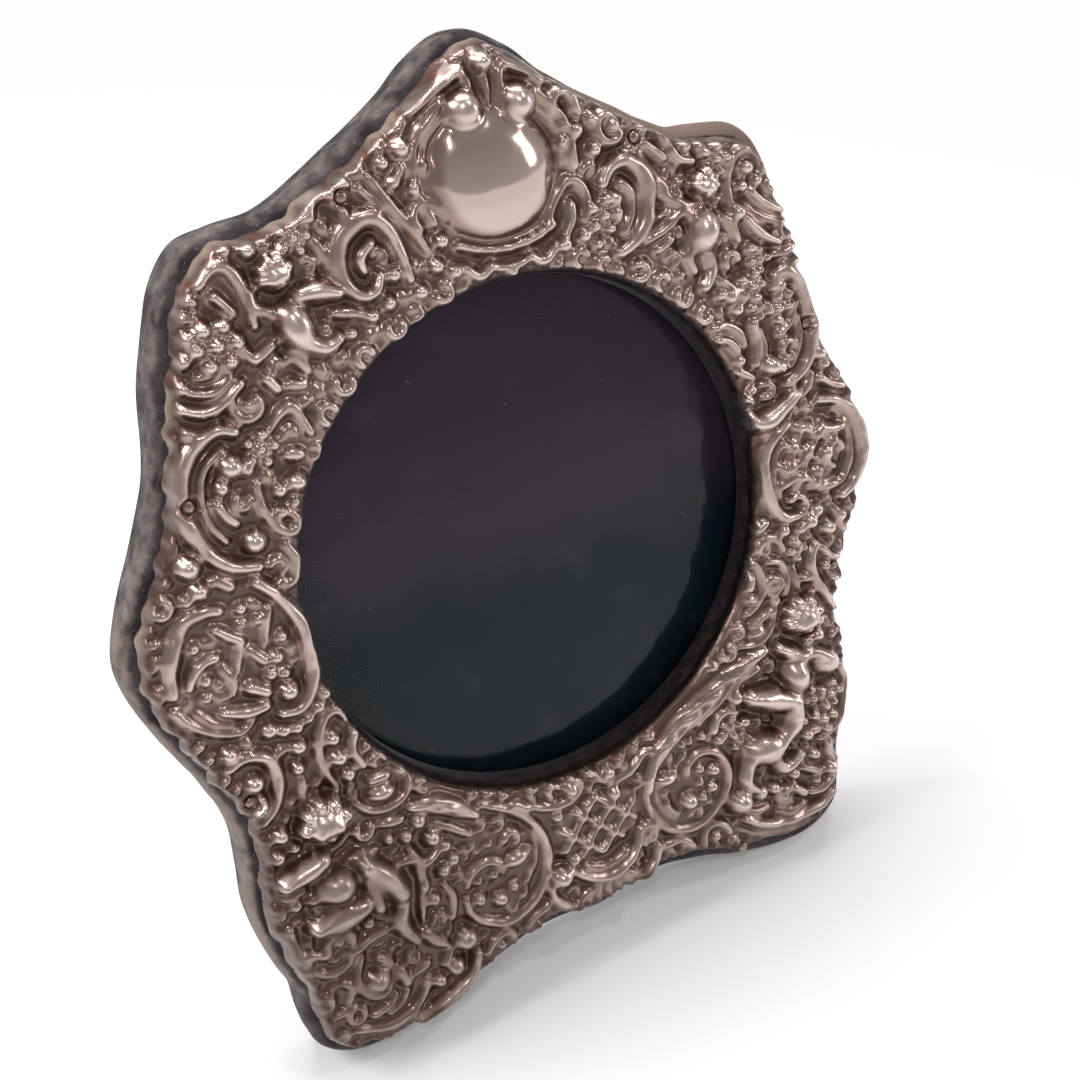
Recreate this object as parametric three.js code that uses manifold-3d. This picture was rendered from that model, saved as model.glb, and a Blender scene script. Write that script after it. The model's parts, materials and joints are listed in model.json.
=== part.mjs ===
// Repousse silver photograph frame on a velvet-covered board, standing on a hinged easel strut.
// Millimetres. The leaning frame's own axes are x across the face, y up the face and z out of
// the face, with their origin at the middle of the round window on the front of the board.
import * as THREE from "three";
import { mergeVertices } from "three/addons/utils/BufferGeometryUtils.js";
import Module from "manifold-3d";

const wasm = await Module();
wasm.setup();

// Driving dimensions
const LEAN = 16; // degrees that the face leans back from upright
const GAP = 0.3; // clearance between pieces that lie against each other

// Right half of the board's outline over its velvet, from the crest down to the middle of the base
const OUTLINE = [
  [0, 92.2], [8.5, 88.6], [14.5, 83.8], [26.8, 76.4], [40, 69.6], [48.3, 68.4], [54.8, 66.8], [60, 60.9],
  [62.8, 54.1], [65.7, 45.7], [68.7, 31.3], [72.7, 22], [79.3, 8.6], [81.7, 0], [80.2, -8.6],
  [74.2, -23.1], [70.2, -35.5], [70.5, -45], [71.1, -54], [69.3, -64.7], [66.8, -73.1],
  [66.4, -80.6], [65, -87], [59.5, -91.2], [50, -92.2], [38, -90.2], [27, -86.6], [16, -84.3],
  [7, -84.8], [0, -86],
];
const WINDOW_RADIUS = 50; // round opening in the silver
const BOARD_THICKNESS = 11;
const EDGE_ROUND = 5; // rounding of the velvet round the board's edge
const VELVET = 0.8;
const VELVET_MARGIN = 3.2; // velvet that shows round the silver
const VELVET_UNDERLAP = 5; // velvet that runs on under the silver
const LIP_DEPTH = 4.4; // board in front of the glass
const BOARD_OPENING_STEP = 1; // board's opening beyond the window, room for its lining
const LINING = 1.1;
const GLASS_THICKNESS = 2;
const GLASS_OVERLAP = 4; // glass beyond the window
const GLASS_BEVEL_WIDTH = 6;
const GLASS_BEVEL_DROP = 0.8;
const PHOTO_CARD = 0.4;
const PACKING_CARD = 0.7;
const DOOR_STEP = 5; // ledge that the back door closes on
const DOOR_CLEARANCE = 0.4; // round the door's edge

// Silver sheet
const SHEET = 0.9;
const CUSHION_HEIGHT = 1.45; // swell of the sheet between its two edges, with its small forms
const RELIEF_WINDOW = 50; // the window's radius in the drawing that the relief is given in
const RELIEF_FULLNESS = 0.8; // below 1 rounds the forms out, above 1 hollows their flanks
const RELIEF_FADE = 1; // width over which the relief sinks to the sheet's edges
const RELIEF_BREADTH = 1.2; // broadens the bands and limbs to what the sheet's facets can carry
const BLEND = 3; // how sharply neighbouring forms of the relief meet
const RELIEF_ROOM = 10; // above the sheet, past the top of any relief
const PIN_COUNT = 8;
const PIN_INSET = 2; // from the silver's edge
const PIN_HEAD_RADIUS = 1.1;
const PIN_HEAD_HEIGHT = 0.6;
const PIN_RADIUS = 0.45;
const PIN_DEPTH = 4; // into the board
const PIN_SEAT_RIM = 0.4; // flat seat round each pin's head
const PIN_FADE = 2.2; // width over which the relief sinks to a pin's seat

// Easel strut and its hinge
const OPEN_ANGLE = 33; // degrees between the open strut and the back
const HINGE_INSET = 21.9; // hinge axis below the door's top edge
const STRUT_BOARD = 3.6;
const STRUT_TOP_WIDTH = 34;
const STRUT_FOOT_WIDTH = 50;
const STRUT_ARCH_WIDTH = 16; // hollow between the strut's two toes
const STRUT_ARCH_HEIGHT = 4;
const STRUT_TOP_GAP = 2.4; // from the hinge axis to the strut's top edge
const LEAF_WIDTH = 29;
const LEAF_HEIGHT = 12;
const LEAF = 0.8;
const KNUCKLE_RADIUS = 1.7;
const KNUCKLE_LENGTH = 6;
const HINGE_PIN_RADIUS = 0.7;
const HINGE_PIN_CLEARANCE = 0.25;
const HINGE_PIN_PROUD = 0.6; // pin past the outer knuckles
const STOP_LUG_WIDTH = 4.5;
const STOP_LUG_REACH = 1.6; // lug past the strut's corner
const RIVET_RADIUS = 0.8;
const RIVET_HEAD_RADIUS = 1.5;
const RIVET_HEAD_HEIGHT = 0.7;
const RIVET_DEPTH = 2.6; // into the panel under the leaf
const RIVET_SPACING = 10;

// Turn clips that lock the back door
const CLIP_ANGLES = { upper_right: 38, upper_left: 142, lower_left: 218, lower_right: 322 };
const CLIP_LENGTH = 17;
const CLIP_WIDTH = 6.4;
const CLIP = 0.9;
const CLIP_SET_BACK = 6.5; // clip's pivot outside the door's seat
const CLIP_SCREW_RADIUS = 1;
const CLIP_SCREW_HEAD_RADIUS = 2.3;
const CLIP_SCREW_HEAD_HEIGHT = 1.2;
const CLIP_SCREW_DEPTH = 5;
const SCREW_SLOT_WIDTH = 0.6;
const SCREW_SLOT_DEPTH = 0.6;

const FOOT_FLAT = 0.5; // depth of the flat that standing has pressed into each foot

// Facets
const OUTLINE_SECTORS = 84;
const SHEET_SECTORS = 232;
const SHEET_RINGS = 16;
const SHEET_BACK_STRIDE = 2; // front rings to each ring of the sheet's back
const BAND_STEPS = 3; // straight pieces between the points of a band
const DISC_SECTORS = 40;
const HOLE_SECTORS = 6;
const OUTER_EDGE_STEPS = 3;
const INNER_EDGE_STEPS = 2;

// Sizes that follow
const radians = THREE.MathUtils.degToRad;
const boardOpening = WINDOW_RADIUS + BOARD_OPENING_STEP;
const liningOuter = boardOpening - GAP;
const liningInner = liningOuter - LINING;
const glassRadius = WINDOW_RADIUS + GLASS_OVERLAP;
const glassSeat = glassRadius + GAP;
const doorSeat = glassSeat + DOOR_STEP;
const doorRadius = doorSeat - DOOR_CLEARANCE;
const hingeHeight = doorRadius - HINGE_INSET; // above the window's middle
const glassFront = -LIP_DEPTH - GAP;
const glassBack = glassFront - GLASS_THICKNESS;
const photoFront = glassBack - GAP;
const packingFront = photoFront - PHOTO_CARD - GAP;
const doorFront = packingFront - PACKING_CARD - GAP;
const doorLedge = doorFront + GAP;
const velvetFront = GAP + VELVET;
const velvetBack = -BOARD_THICKNESS - GAP - VELVET;
const sheetBase = velvetFront + GAP;
const clipPivotRadius = doorSeat + CLIP_SET_BACK;
const reliefUnit = WINDOW_RADIUS / RELIEF_WINDOW;

// Materials
const finish = (color, roughness, metalness) =>
  new THREE.MeshStandardMaterial({ color, roughness, metalness });
const silver = finish(0xb39a90, 0.28, 1);
const velvet = finish(0x3d363d, 0.95, 0);
const darkVelvet = finish(0x1b1417, 0.95, 0);
const oak = finish(0x7d5a38, 0.7, 0);
const clearGlass = finish(0x2a2a30, 0.05, 0);
const blackCard = finish(0x111114, 0.8, 0);
const strawCard = finish(0xa08a62, 0.9, 0);
const brass = finish(0xb08d4a, 0.35, 1);

// Solids and booleans
function solidOf(geometry) {
  const bare = new THREE.BufferGeometry().setAttribute("position", geometry.getAttribute("position").clone());
  if (geometry.index) bare.setIndex(geometry.index.clone());
  const merged = mergeVertices(bare, 1e-4);
  const triVerts = new Uint32Array(merged.index.array);
  const vertProperties = new Float32Array(merged.attributes.position.array);
  return new wasm.Manifold(new wasm.Mesh({ numProp: 3, vertProperties, triVerts }));
}

function geometryOf(solid) {
  const mesh = solid.getMesh();
  const positions = new Float32Array(mesh.vertProperties);
  return new THREE.BufferGeometry()
    .setAttribute("position", new THREE.BufferAttribute(positions, 3))
    .setIndex(new THREE.BufferAttribute(new Uint32Array(mesh.triVerts), 1));
}

const cut = (geometry, ...tools) =>
  geometryOf(tools.reduce((solid, tool) => solid.subtract(solidOf(tool)), solidOf(geometry)));
const join = (geometry, ...others) =>
  geometryOf(others.reduce((solid, other) => solid.add(solidOf(other)), solidOf(geometry)));

// Box between two corners
function block(x0, x1, y0, y1, z0, z1) {
  const box = new THREE.BoxGeometry(x1 - x0, y1 - y0, z1 - z0);
  return box.translate((x0 + x1) / 2, (y0 + y1) / 2, (z0 + z1) / 2);
}

// Turned piece on the z axis from [radius, z] points that start and end on the axis
function turned(points, sectors) {
  const profile = points.map(([radius, z]) => new THREE.Vector2(radius, z));
  const geometry = new THREE.LatheGeometry(profile, sectors).rotateX(Math.PI / 2);
  return outwards(geometry);
}

const disc = (radius, front, back, sectors = DISC_SECTORS) =>
  turned([[0, back], [radius, back], [radius, front], [0, front]], sectors);

// Hole tool along z
const drill = (x, y, radius, front, back, sectors = HOLE_SECTORS) =>
  disc(radius, front, back, sectors).translate(x, y, 0);

// Turns a closed surface's faces outwards, whichever way its points were listed
function outwards(geometry) {
  const merged = mergeVertices(
    new THREE.BufferGeometry()
      .setAttribute("position", geometry.getAttribute("position"))
      .setIndex(geometry.index),
    1e-4,
  );
  const index = Array.from(merged.index.array);
  const position = merged.attributes.position;
  const [a, b, c] = [new THREE.Vector3(), new THREE.Vector3(), new THREE.Vector3()];
  const kept = [];
  let volume = 0;
  for (let i = 0; i < index.length; i += 3) {
    const [p, q, r] = index.slice(i, i + 3);
    if (p === q || q === r || r === p) continue;
    a.fromBufferAttribute(position, p);
    b.fromBufferAttribute(position, q);
    c.fromBufferAttribute(position, r);
    volume += a.dot(b.cross(c));
    kept.push([p, q, r]);
  }
  const faces = volume < 0 ? kept.map(([p, q, r]) => [p, r, q]) : kept;
  return merged.setIndex(faces.flat());
}

// Ring round the window: profileAt(angle) gives the same number of [radius, z] points all the way
// round, and each facet is split along the diagonal that rises less
function ringSolid(profileAt, sectors) {
  const positions = [];
  const index = [];
  let count = 0;
  for (let s = 0; s < sectors; s++) {
    const angle = (s / sectors) * 2 * Math.PI;
    const profile = profileAt(angle);
    count = profile.length;
    profile.forEach(([radius, z]) => positions.push(radius * Math.cos(angle), radius * Math.sin(angle), z));
  }
  for (let s = 0; s < sectors; s++) {
    const here = s * count;
    const next = ((s + 1) % sectors) * count;
    for (let k = 0; k < count; k++) {
      const m = (k + 1) % count;
      const rise = Math.abs(positions[3 * (here + k) + 2] - positions[3 * (next + m) + 2]);
      const otherRise = Math.abs(positions[3 * (next + k) + 2] - positions[3 * (here + m) + 2]);
      if (rise <= otherRise) index.push(here + k, next + k, next + m, here + k, next + m, here + m);
      else index.push(here + k, next + k, here + m, next + k, next + m, here + m);
    }
  }
  const geometry = new THREE.BufferGeometry();
  geometry.setAttribute("position", new THREE.Float32BufferAttribute(positions, 3));
  return outwards(geometry.setIndex(index));
}

// Outline of the velvet-covered board as a radius from the window's middle
const outlineCurve = new THREE.CatmullRomCurve3(
  [...OUTLINE, ...OUTLINE.slice(1, -1).reverse().map(([x, y]) => [-x, y])].map(
    ([x, y]) => new THREE.Vector3(x, y, 0),
  ),
  true,
  "centripetal",
);
const OUTLINE_SAMPLES = 1440;
const outlinePolar = outlineCurve
  .getPoints(OUTLINE_SAMPLES)
  .slice(0, -1)
  .map((p) => ({ angle: (Math.atan2(p.y, p.x) + 2 * Math.PI) % (2 * Math.PI), radius: Math.hypot(p.x, p.y) }))
  .sort((p, q) => p.angle - q.angle);

function outlineRadius(angle) {
  const turn = ((angle % (2 * Math.PI)) + 2 * Math.PI) % (2 * Math.PI);
  const found = outlinePolar.findIndex((p) => p.angle >= turn);
  const after = outlinePolar[found < 0 ? 0 : found];
  const before = outlinePolar[(found < 0 ? outlinePolar.length : found || outlinePolar.length) - 1];
  const span = (after.angle - before.angle + 2 * Math.PI) % (2 * Math.PI);
  const share = span ? ((turn - before.angle + 2 * Math.PI) % (2 * Math.PI)) / span : 0;
  return THREE.MathUtils.lerp(before.radius, after.radius, share);
}

const silverEdge = (angle) => outlineRadius(angle) - VELVET_MARGIN;

// Rounded rim from the front to the back of the board, as [radius, z] points
function roundedRim(radius, front, back, round, steps) {
  const rim = [];
  for (let k = 0; k <= steps; k++) {
    const turn = (k / steps) * (Math.PI / 2);
    rim.push([radius - round * (1 - Math.sin(turn)), front - round * (1 - Math.cos(turn))]);
  }
  for (let k = 0; k <= steps; k++) {
    const turn = (k / steps) * (Math.PI / 2);
    rim.push([radius - round * (1 - Math.cos(turn)), back + round * (1 - Math.sin(turn))]);
  }
  return rim;
}

// Relief forms of the silver: heights at a point of the sheet, all in units of the relief's drawing
const boss = (cx, cy, rx, ry, height) => (x, y) => {
  const inside = 1 - ((x - cx) / rx) ** 2 - ((y - cy) / ry) ** 2;
  return inside > 0 ? height * inside ** RELIEF_FULLNESS : 0;
};
const band = (path, halfWidth, height) => {
  const points = path.split(",").map((point) => new THREE.Vector3(...point.trim().split(" ").map(Number), 0));
  const stations = new THREE.CatmullRomCurve3(points).getPoints(BAND_STEPS * (points.length - 1));
  const reach = halfWidth * RELIEF_BREADTH;
  const box = new THREE.Box3().setFromPoints(stations).expandByScalar(reach);
  const foot = new THREE.Vector3();
  return (x, y) => {
    const place = new THREE.Vector3(x, y, 0);
    if (!box.containsPoint(place)) return 0;
    const distances = stations.slice(1).map((end, k) => {
      return new THREE.Line3(stations[k], end).closestPointToPoint(place, true, foot).distanceTo(place);
    });
    const inside = 1 - (Math.min(...distances) / reach) ** 2;
    return inside > 0 ? height * inside ** RELIEF_FULLNESS : 0;
  };
};

const RELIEF = [
  // Plain cartouche under the crest, its rims, volutes and knob
  boss(0, 66.5, 11.8, 10, 4.7),
  band("-9.4 57.6, 0 55.5, 9.4 57.6", 1.1, 2),
  band("-8.6 80.1, -13.4 75.5, -15 69.5, -12.8 62.6", 1.7, 1.9),
  band("14.5 66.5, 14.1 73, 8.2 79.6", 1.7, 1.9),
  boss(-5, 79, 3.1, 3.1, 3),
  boss(5.5, 78.7, 3.1, 3.1, 3),
  boss(0, 86.2, 1.9, 1.9, 1.9),
  // Right of the crest: curls, C-scrolls and the upper cherub
  band("8 57, 10 61, 13.5 64.3, 16.5 63, 17.2 59.5, 16 57.2", 1.2, 1.9),
  band("20.5 62.5, 22.5 65, 25.5 65.8, 28.6 63.5, 29.8 59.5, 29 55, 26 51.5, 22.5 49.9", 2, 2.4),
  band("26.5 67, 30 62.6, 33 58.6, 36.5 56.2, 41 55.2", 1.3, 1.9),
  boss(19.8, 57.2, 2.9, 2.9, 1.9),
  boss(45.4, 62.6, 2.7, 2.7, 1.9),
  boss(42.6, 58.2, 3.2, 3, 3.4),
  boss(41.2, 50.2, 3.8, 5.4, 3.4),
  band("41.4 46, 42.6 42.6, 40.4 39.4", 1.7, 2.5),
  band("38.8 49, 37.4 46, 38.6 43", 1.5, 2.2),
  band("45 52.4, 48 50, 49.6 46.4", 1.5, 1.9),
  band("48.2 54, 48.6 59, 50.2 62.5, 53.2 63.4, 56.4 61.4, 57 58.6", 1.3, 1.9),
  band("51.5 53.4, 55 50.2, 59.4 48.2", 1.1, 1.7),
  band("51.6 50.4, 55 46.8, 58.8 44.4", 1.1, 1.7),
  // Right of the window: the great C-scroll and the wave under it
  band("56.5 36, 57.5 38.6, 60.5 38.4, 63.8 35, 65.8 30, 66 25.5, 64.6 20.5, 61.5 17.2, 57.8 16", 2, 2.5),
  band("42 31, 44.8 31, 47.6 29, 48.9 26", 1.4, 1.9),
  band("51.2 30, 51.9 26, 51 21.8", 1.1, 1.5),
  band("47.6 15.3, 47.2 12.5, 48.6 10.2, 51.6 9.8, 55.5 11.4, 59.5 13.8", 1.7, 2.5),
  band("61 12.5, 63.5 14.3, 64.6 16.6", 1.5, 2.1),
  boss(57.6, 31.6, 2.6, 2.6, 1.8),
  boss(51.3, 37.4, 2.7, 2.7, 1.8),
  boss(54.4, 20.6, 2.1, 2.1, 2),
  // Right medallion with its trellis pillow
  band("57.5 7.5, 53.2 5.4, 50.7 1, 50.5 -4, 51.8 -9, 55 -12.4, 59 -12.6, 60.4 -10.5, 58.6 -8.6", 1.6, 2.5),
  band("66.5 10.4, 70 9.6, 74 6.5, 76.6 1.5, 76.8 -4, 74.6 -9, 70.5 -12", 1.9, 2.5),
  band("55 -5, 58 -4.4, 61 -5", 1.2, 2.2),
  band("56.2 -2, 59.4 -1.2, 62 1", 1.2, 2.2),
  band("65.6 4.4, 68.6 3.6, 71.4 3.4", 1.2, 2.2),
  band("62 -7.4, 65.5 -8.6, 68.6 -9", 1.3, 1.8),
  band("71.3 -1.4, 70.2 0.6, 68 0.6, 66.7 -1.4", 1.1, 2),
  boss(62.2, -0.6, 9.8, 8.8, 1),
  // Under the right medallion
  band("46.6 -17.4, 48.4 -15.6, 51 -15.7, 53 -17.6, 53.8 -19.6", 1.2, 1.6),
  band("43.6 -20.4, 45.2 -19.6, 46.9 -21.7, 47.3 -25.5, 45.8 -29, 42.8 -30.6", 1.2, 1.6),
  band("49.4 -20.6, 52.6 -22, 53.9 -25.5, 53.1 -29.5", 1.2, 1.6),
  band("62.5 -20.6, 60.6 -24, 61.3 -28.5, 63.8 -33, 66 -37", 1.6, 2),
  band("50 -32.8, 47.6 -36.5, 43.8 -37.9, 40 -36.9", 1.3, 1.8),
  boss(61, -14.9, 2.1, 2.1, 1.8),
  boss(66.6, -28.8, 2.1, 2.1, 1.8),
  // Right lower cherub
  boss(56, -35.4, 4.9, 4.5, 4.3),
  boss(53, -48.4, 4.8, 6, 4.1),
  boss(63.2, -48, 4.4, 4.4, 3.4),
  boss(43.4, -62.6, 7.2, 4.8, 4.1),
  boss(60, -62, 3.3, 3.3, 1.9),
  boss(62.6, -56.6, 2.9, 2.9, 1.8),
  band("50 -41, 52.4 -43, 55.4 -44.8", 1.8, 3),
  band("56.5 -45, 59.6 -45.6, 62.4 -47", 1.7, 2.8),
  band("40.5 -49, 45.5 -51.2, 51 -53.4", 2.5, 3.8),
  band("51.4 -54, 50.4 -59, 47 -62", 2.4, 3.5),
  band("45 -66, 48 -69.4, 52.5 -67.6", 1.6, 2.6),
  band("38.6 -64, 37 -68.4, 39.4 -71.4", 1.6, 2.6),
  band("30.4 -53.5, 31.5 -51, 34 -50, 37 -51.2", 1.1, 1.6),
  band("66 -51, 67.6 -56, 66.4 -61.5, 63.4 -65.5, 59.4 -67.4", 1.4, 2),
  // Feathered leaf along the window, wound into the right lower medallion
  band("46 -40, 40 -41.9, 34 -44, 28 -46.6, 22.4 -49.2, 17.6 -52, 14 -56", 2.4, 1.7),
  band("13 -57, 12.2 -61.5, 13.4 -67, 16.5 -71.5, 21 -74, 26 -74, 30.3 -71.5, 33 -67, 33 -62.5", 1.6, 2.3),
  band("33 -62.5, 30.5 -58.8, 26.5 -57.6, 23.6 -58.8, 23 -61", 1.4, 2.1),
  boss(18.6, -60.4, 3.4, 3.4, 1.9),
  boss(22, -67.4, 3.5, 3.5, 1.9),
  boss(27, -63, 2.7, 2.7, 1.8),
  // Trellis over the shell at the middle of the base
  boss(0, -62.6, 11.6, 7.8, 0.9),
  boss(-10.4, -70.4, 2.3, 2.3, 2.1),
  boss(11, -70.4, 2.7, 2.7, 1.7),
  boss(0, -78.8, 9, 3.4, 1.4),
  band("-16 -51.4, -11 -53.9, -7 -54.7, -3.6 -53.9, -2.5 -51.9", 1.3, 1.7),
  band("16 -51.4, 12.4 -51.8, 9.4 -54, 5.2 -54.9, 2.2 -53.4", 1.3, 1.7),
  band("-8.5 -69.5, -6 -72, -3 -74.2, 0.5 -75.4, 4 -74.8, 7 -72.8", 1.2, 2.1),
  band("-13.2 -71.5, -12.5 -75, -9.5 -78.3, -5.5 -80.6", 1.1, 1.6),
  band("13.4 -74, 12.3 -77, 9 -79.6, 5.5 -80.8", 1.1, 1.6),
  // Right foot
  band("36.5 -78, 40 -80.6, 45 -82.6, 51 -83.6, 57 -83.4, 61.4 -81.4", 1.4, 2),
  band("34 -79.5, 38 -82.3, 43 -84.6, 48 -85.9, 54 -86.3", 1.2, 1.6),
  band("53.6 -72.4, 56 -74, 58.8 -75.6", 1.3, 1.8),
  boss(47.2, -77, 2.6, 2.6, 1.8),
  boss(35, -72.4, 2.9, 2.9, 2.4),
  boss(61.2, -75.2, 1.9, 1.9, 1.8),
  // Left foot
  band("-31.5 -77.5, -33 -80.8, -36.5 -83.6, -41 -85.4, -46 -86", 1.5, 2),
  band("-58.5 -82.6, -54 -84.6, -49.5 -84.8, -45.5 -83.2, -43.2 -80.6", 1.4, 1.8),
  band("-54.5 -67.5, -56 -71, -55.4 -74.6, -53.4 -77, -51 -77.2", 1.4, 1.9),
  boss(-52.2, -73.2, 2.6, 2.6, 2.3),
  boss(-33.3, -73.8, 2.5, 2.5, 2.2),
  boss(-36.6, -78.4, 2.2, 2.2, 1.9),
  // Left lower cherub with its raised leg
  boss(-55.5, -36.2, 5.1, 4.7, 4.4),
  boss(-56, -49.8, 5.2, 4.4, 3.9),
  band("-65 -45.6, -61 -44.7, -57.6 -43.6", 1.9, 3),
  band("-61.5 -56.2, -57 -56.2, -52 -55.6", 2.5, 3.7),
  band("-50.5 -49, -49.6 -54, -49 -58", 1.8, 2.8),
  band("-49 -47.8, -46 -53, -43.7 -58.5, -43.8 -64, -42 -69", 2.9, 4.2),
  band("-41.4 -68.4, -39.4 -71.2, -37 -73.4", 1.5, 2),
  band("-64.3 -65.4, -62 -67.6, -58.6 -68.4, -56.2 -66.8", 1.2, 1.6),
  // Left lower medallion and the leaf over it
  band(
    "-25 -46.9, -20 -50.2, -15.5 -54.5, -12.8 -60, -12.6 -65, -14.5 -70, -18.5 -73.8, -23.5 -74.8",
    1.6,
    2.3,
  ),
  band("-23.5 -74.8, -28 -72.8, -31 -69.4, -31.6 -65.6", 1.5, 2.2),
  band("-39 -40.9, -33.4 -43, -29 -46.2, -26 -48.6", 2, 1.8),
  band("-35.4 -60, -34 -64, -35 -68.4", 1.1, 1.5),
  boss(-18.8, -61.5, 3.1, 3.1, 1.9),
  boss(-24.7, -68.4, 2.8, 2.8, 1.8),
  boss(-26, -61.6, 3.8, 3.8, 1.4),
  // Left medallion and the scrolls under it
  band("-56 10, -52.8 5.5, -50.8 0, -50.7 -5, -51.8 -10, -54.5 -13.3, -58 -13.3", 1.7, 2.4),
  band("-70.5 8.4, -74 4.5, -75.4 -1, -74.4 -6.5, -71.4 -11.3, -67 -13.4, -62.5 -12.8", 1.8, 2.4),
  band("-61.5 -10, -66 -9.4, -69.6 -6.8, -71.4 -3, -70.8 0.6, -68.4 1.8", 1.2, 1.9),
  band("-70.4 8.2, -68 9.6, -65.4 8.6, -63 6.4", 1.2, 1.6),
  band("-66.4 5.4, -63.4 3.2, -61.2 1.6", 1.1, 1.6),
  boss(-57, -2.6, 2.5, 2.5, 1.7),
  boss(-56.6, -7.4, 2.6, 2.6, 1.7),
  boss(-68.8, -3.2, 2, 2, 1.7),
  band("-46.8 -19, -48.5 -16.6, -51.2 -17.8, -53 -21.6, -53 -26.6, -51.5 -31.6", 1.2, 1.6),
  band("-69.4 -20, -66 -18.9, -62.6 -20.5, -61.5 -25, -63 -30, -66 -32.4", 1.5, 2),
  band("-49 -35.6, -46.4 -38.6, -42.4 -39.4, -39 -38", 1.2, 1.6),
  boss(-66.2, -28.6, 2.1, 2.1, 1.8),
  // Left of the window: the great C-scroll and the shoulder
  band(
    "-54.8 37, -57.5 37.9, -61 36.5, -64.3 33, -66 28, -65.6 23.5, -63.6 18.5, -60.3 15, -56 13.8",
    1.8,
    2.5,
  ),
  band("-49.5 35, -47 37.6, -44.9 38.6, -43.4 36.6, -42.2 33.2", 1.3, 1.8),
  band("-47 31, -44.6 30.2", 1.6, 2),
  band("-53.2 27.5, -53 23, -51 18.9, -48.6 17.7", 1.3, 1.7),
  band("-50.6 16, -49.4 13, -50 9.8, -51.6 8.6", 1.2, 1.6),
  band("-62.2 42.6, -59.5 41.4, -56 41.6, -51.8 44.4", 1.1, 1.5),
  band("-55 60.4, -52.6 62.6, -50 62.4, -48.2 59, -47.5 52.6", 1.3, 1.9),
  boss(-55.7, 18.2, 2.8, 2.8, 3),
  boss(-56.6, 31.6, 2.3, 2.3, 1.9),
  boss(-51.2, 33, 2.6, 2.6, 1.7),
  boss(-54.4, 51, 3.6, 3.6, 2),
  // Left of the crest: the upper cherub and the spiral
  band("-23.5 71.6, -20.4 66, -17 61, -15 57.4", 1.3, 1.7),
  band(
    "-19.6 54, -20.4 58.6, -22 63, -25.4 65.4, -29.4 64, -31.6 60.4, -31.2 56, -28.6 53.2, -26 53.6",
    1.8,
    2.3,
  ),
  band("-39.6 55.8, -36 55.8, -32.8 54.8", 1.6, 2.9),
  band("-39.6 48, -36.8 46.6, -34.2 47.6", 1.6, 2.7),
  boss(-38.4, 64.8, 2.5, 2.5, 1.7),
  boss(-42.6, 59.8, 3.3, 3.1, 3.3),
  boss(-41, 51, 3.7, 5.1, 3.4),
];

// Places of the pins that hold the silver, in from its edge
const pinPlaces = Array.from({ length: PIN_COUNT }, (_, k) => {
  const angle = ((k + 0.5) / PIN_COUNT) * 2 * Math.PI;
  const radius = silverEdge(angle) - PIN_INSET;
  return { x: radius * Math.cos(angle), y: radius * Math.sin(angle) };
});
const pinHole = PIN_RADIUS + GAP;

// Front of the silver sheet: a gentle swell with the relief on it, flat at its edges and under its pins
function sheetFront(x, y, fromEdge) {
  const forms = RELIEF.map((form) => form(x / reliefUnit, y / reliefUnit));
  const relief = reliefUnit * forms.reduce((sum, height) => sum + height ** BLEND, 0) ** (1 / BLEND);
  const fromPin = Math.min(...pinPlaces.map((pin) => Math.hypot(x - pin.x, y - pin.y)));
  const edgeShare = THREE.MathUtils.smoothstep(fromEdge, 0, RELIEF_FADE);
  const pinShare = THREE.MathUtils.smoothstep(fromPin, PIN_HEAD_RADIUS + GAP, PIN_HEAD_RADIUS + PIN_FADE);
  return sheetBase + SHEET + edgeShare * pinShare * (CUSHION_HEIGHT + relief);
}

function makeSilverFront() {
  const sheet = ringSolid((angle) => {
    const inner = WINDOW_RADIUS;
    const outer = silverEdge(angle);
    const front = [];
    for (let ring = 0; ring <= SHEET_RINGS; ring++) {
      const radius = THREE.MathUtils.lerp(inner, outer, ring / SHEET_RINGS);
      const fromEdge = Math.min(radius - inner, outer - radius);
      front.push([radius, sheetFront(radius * Math.cos(angle), radius * Math.sin(angle), fromEdge)]);
    }
    const back = [];
    for (let ring = 0; ring <= SHEET_RINGS; ring += SHEET_BACK_STRIDE) {
      const near = front.slice(Math.max(0, ring - SHEET_BACK_STRIDE + 1), ring + SHEET_BACK_STRIDE);
      back.push([front[ring][0], Math.min(...near.map(([, z]) => z)) - SHEET]);
    }
    return [...front, ...back.reverse()];
  }, SHEET_SECTORS);
  const flat = sheetBase + SHEET;
  const seatRadius = PIN_HEAD_RADIUS + GAP;
  const seats = pinPlaces.map(({ x, y }) => drill(x, y, seatRadius + PIN_SEAT_RIM, flat, sheetBase));
  const room = pinPlaces.map(({ x, y }) => drill(x, y, seatRadius, flat + RELIEF_ROOM, flat));
  const holes = pinPlaces.map(({ x, y }) => drill(x, y, pinHole, flat + RELIEF_ROOM, 0));
  return cut(join(sheet, ...seats), ...room, ...holes);
}

// Board, velvet and the lining of the window
function makeBackboard() {
  const core = ringSolid((angle) => {
    const radius = outlineRadius(angle) - VELVET - GAP;
    return [
      ...roundedRim(radius, 0, -BOARD_THICKNESS, EDGE_ROUND - VELVET - GAP, INNER_EDGE_STEPS),
      [doorSeat, -BOARD_THICKNESS],
      [doorSeat, doorLedge],
      [glassSeat, doorLedge],
      [glassSeat, -LIP_DEPTH],
      [boardOpening, -LIP_DEPTH],
      [boardOpening, 0],
    ];
  }, OUTLINE_SECTORS);
  const pinHoles = pinPlaces.map(({ x, y }) => drill(x, y, pinHole, 1, -PIN_DEPTH - GAP));
  const screwHoles = clipPlaces.map(({ x, y }) =>
    drill(x, y, CLIP_SCREW_RADIUS + GAP, CLIP_SCREW_DEPTH - BOARD_THICKNESS + GAP, -BOARD_THICKNESS - 1),
  );
  return cut(core, ...pinHoles, ...screwHoles);
}

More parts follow.
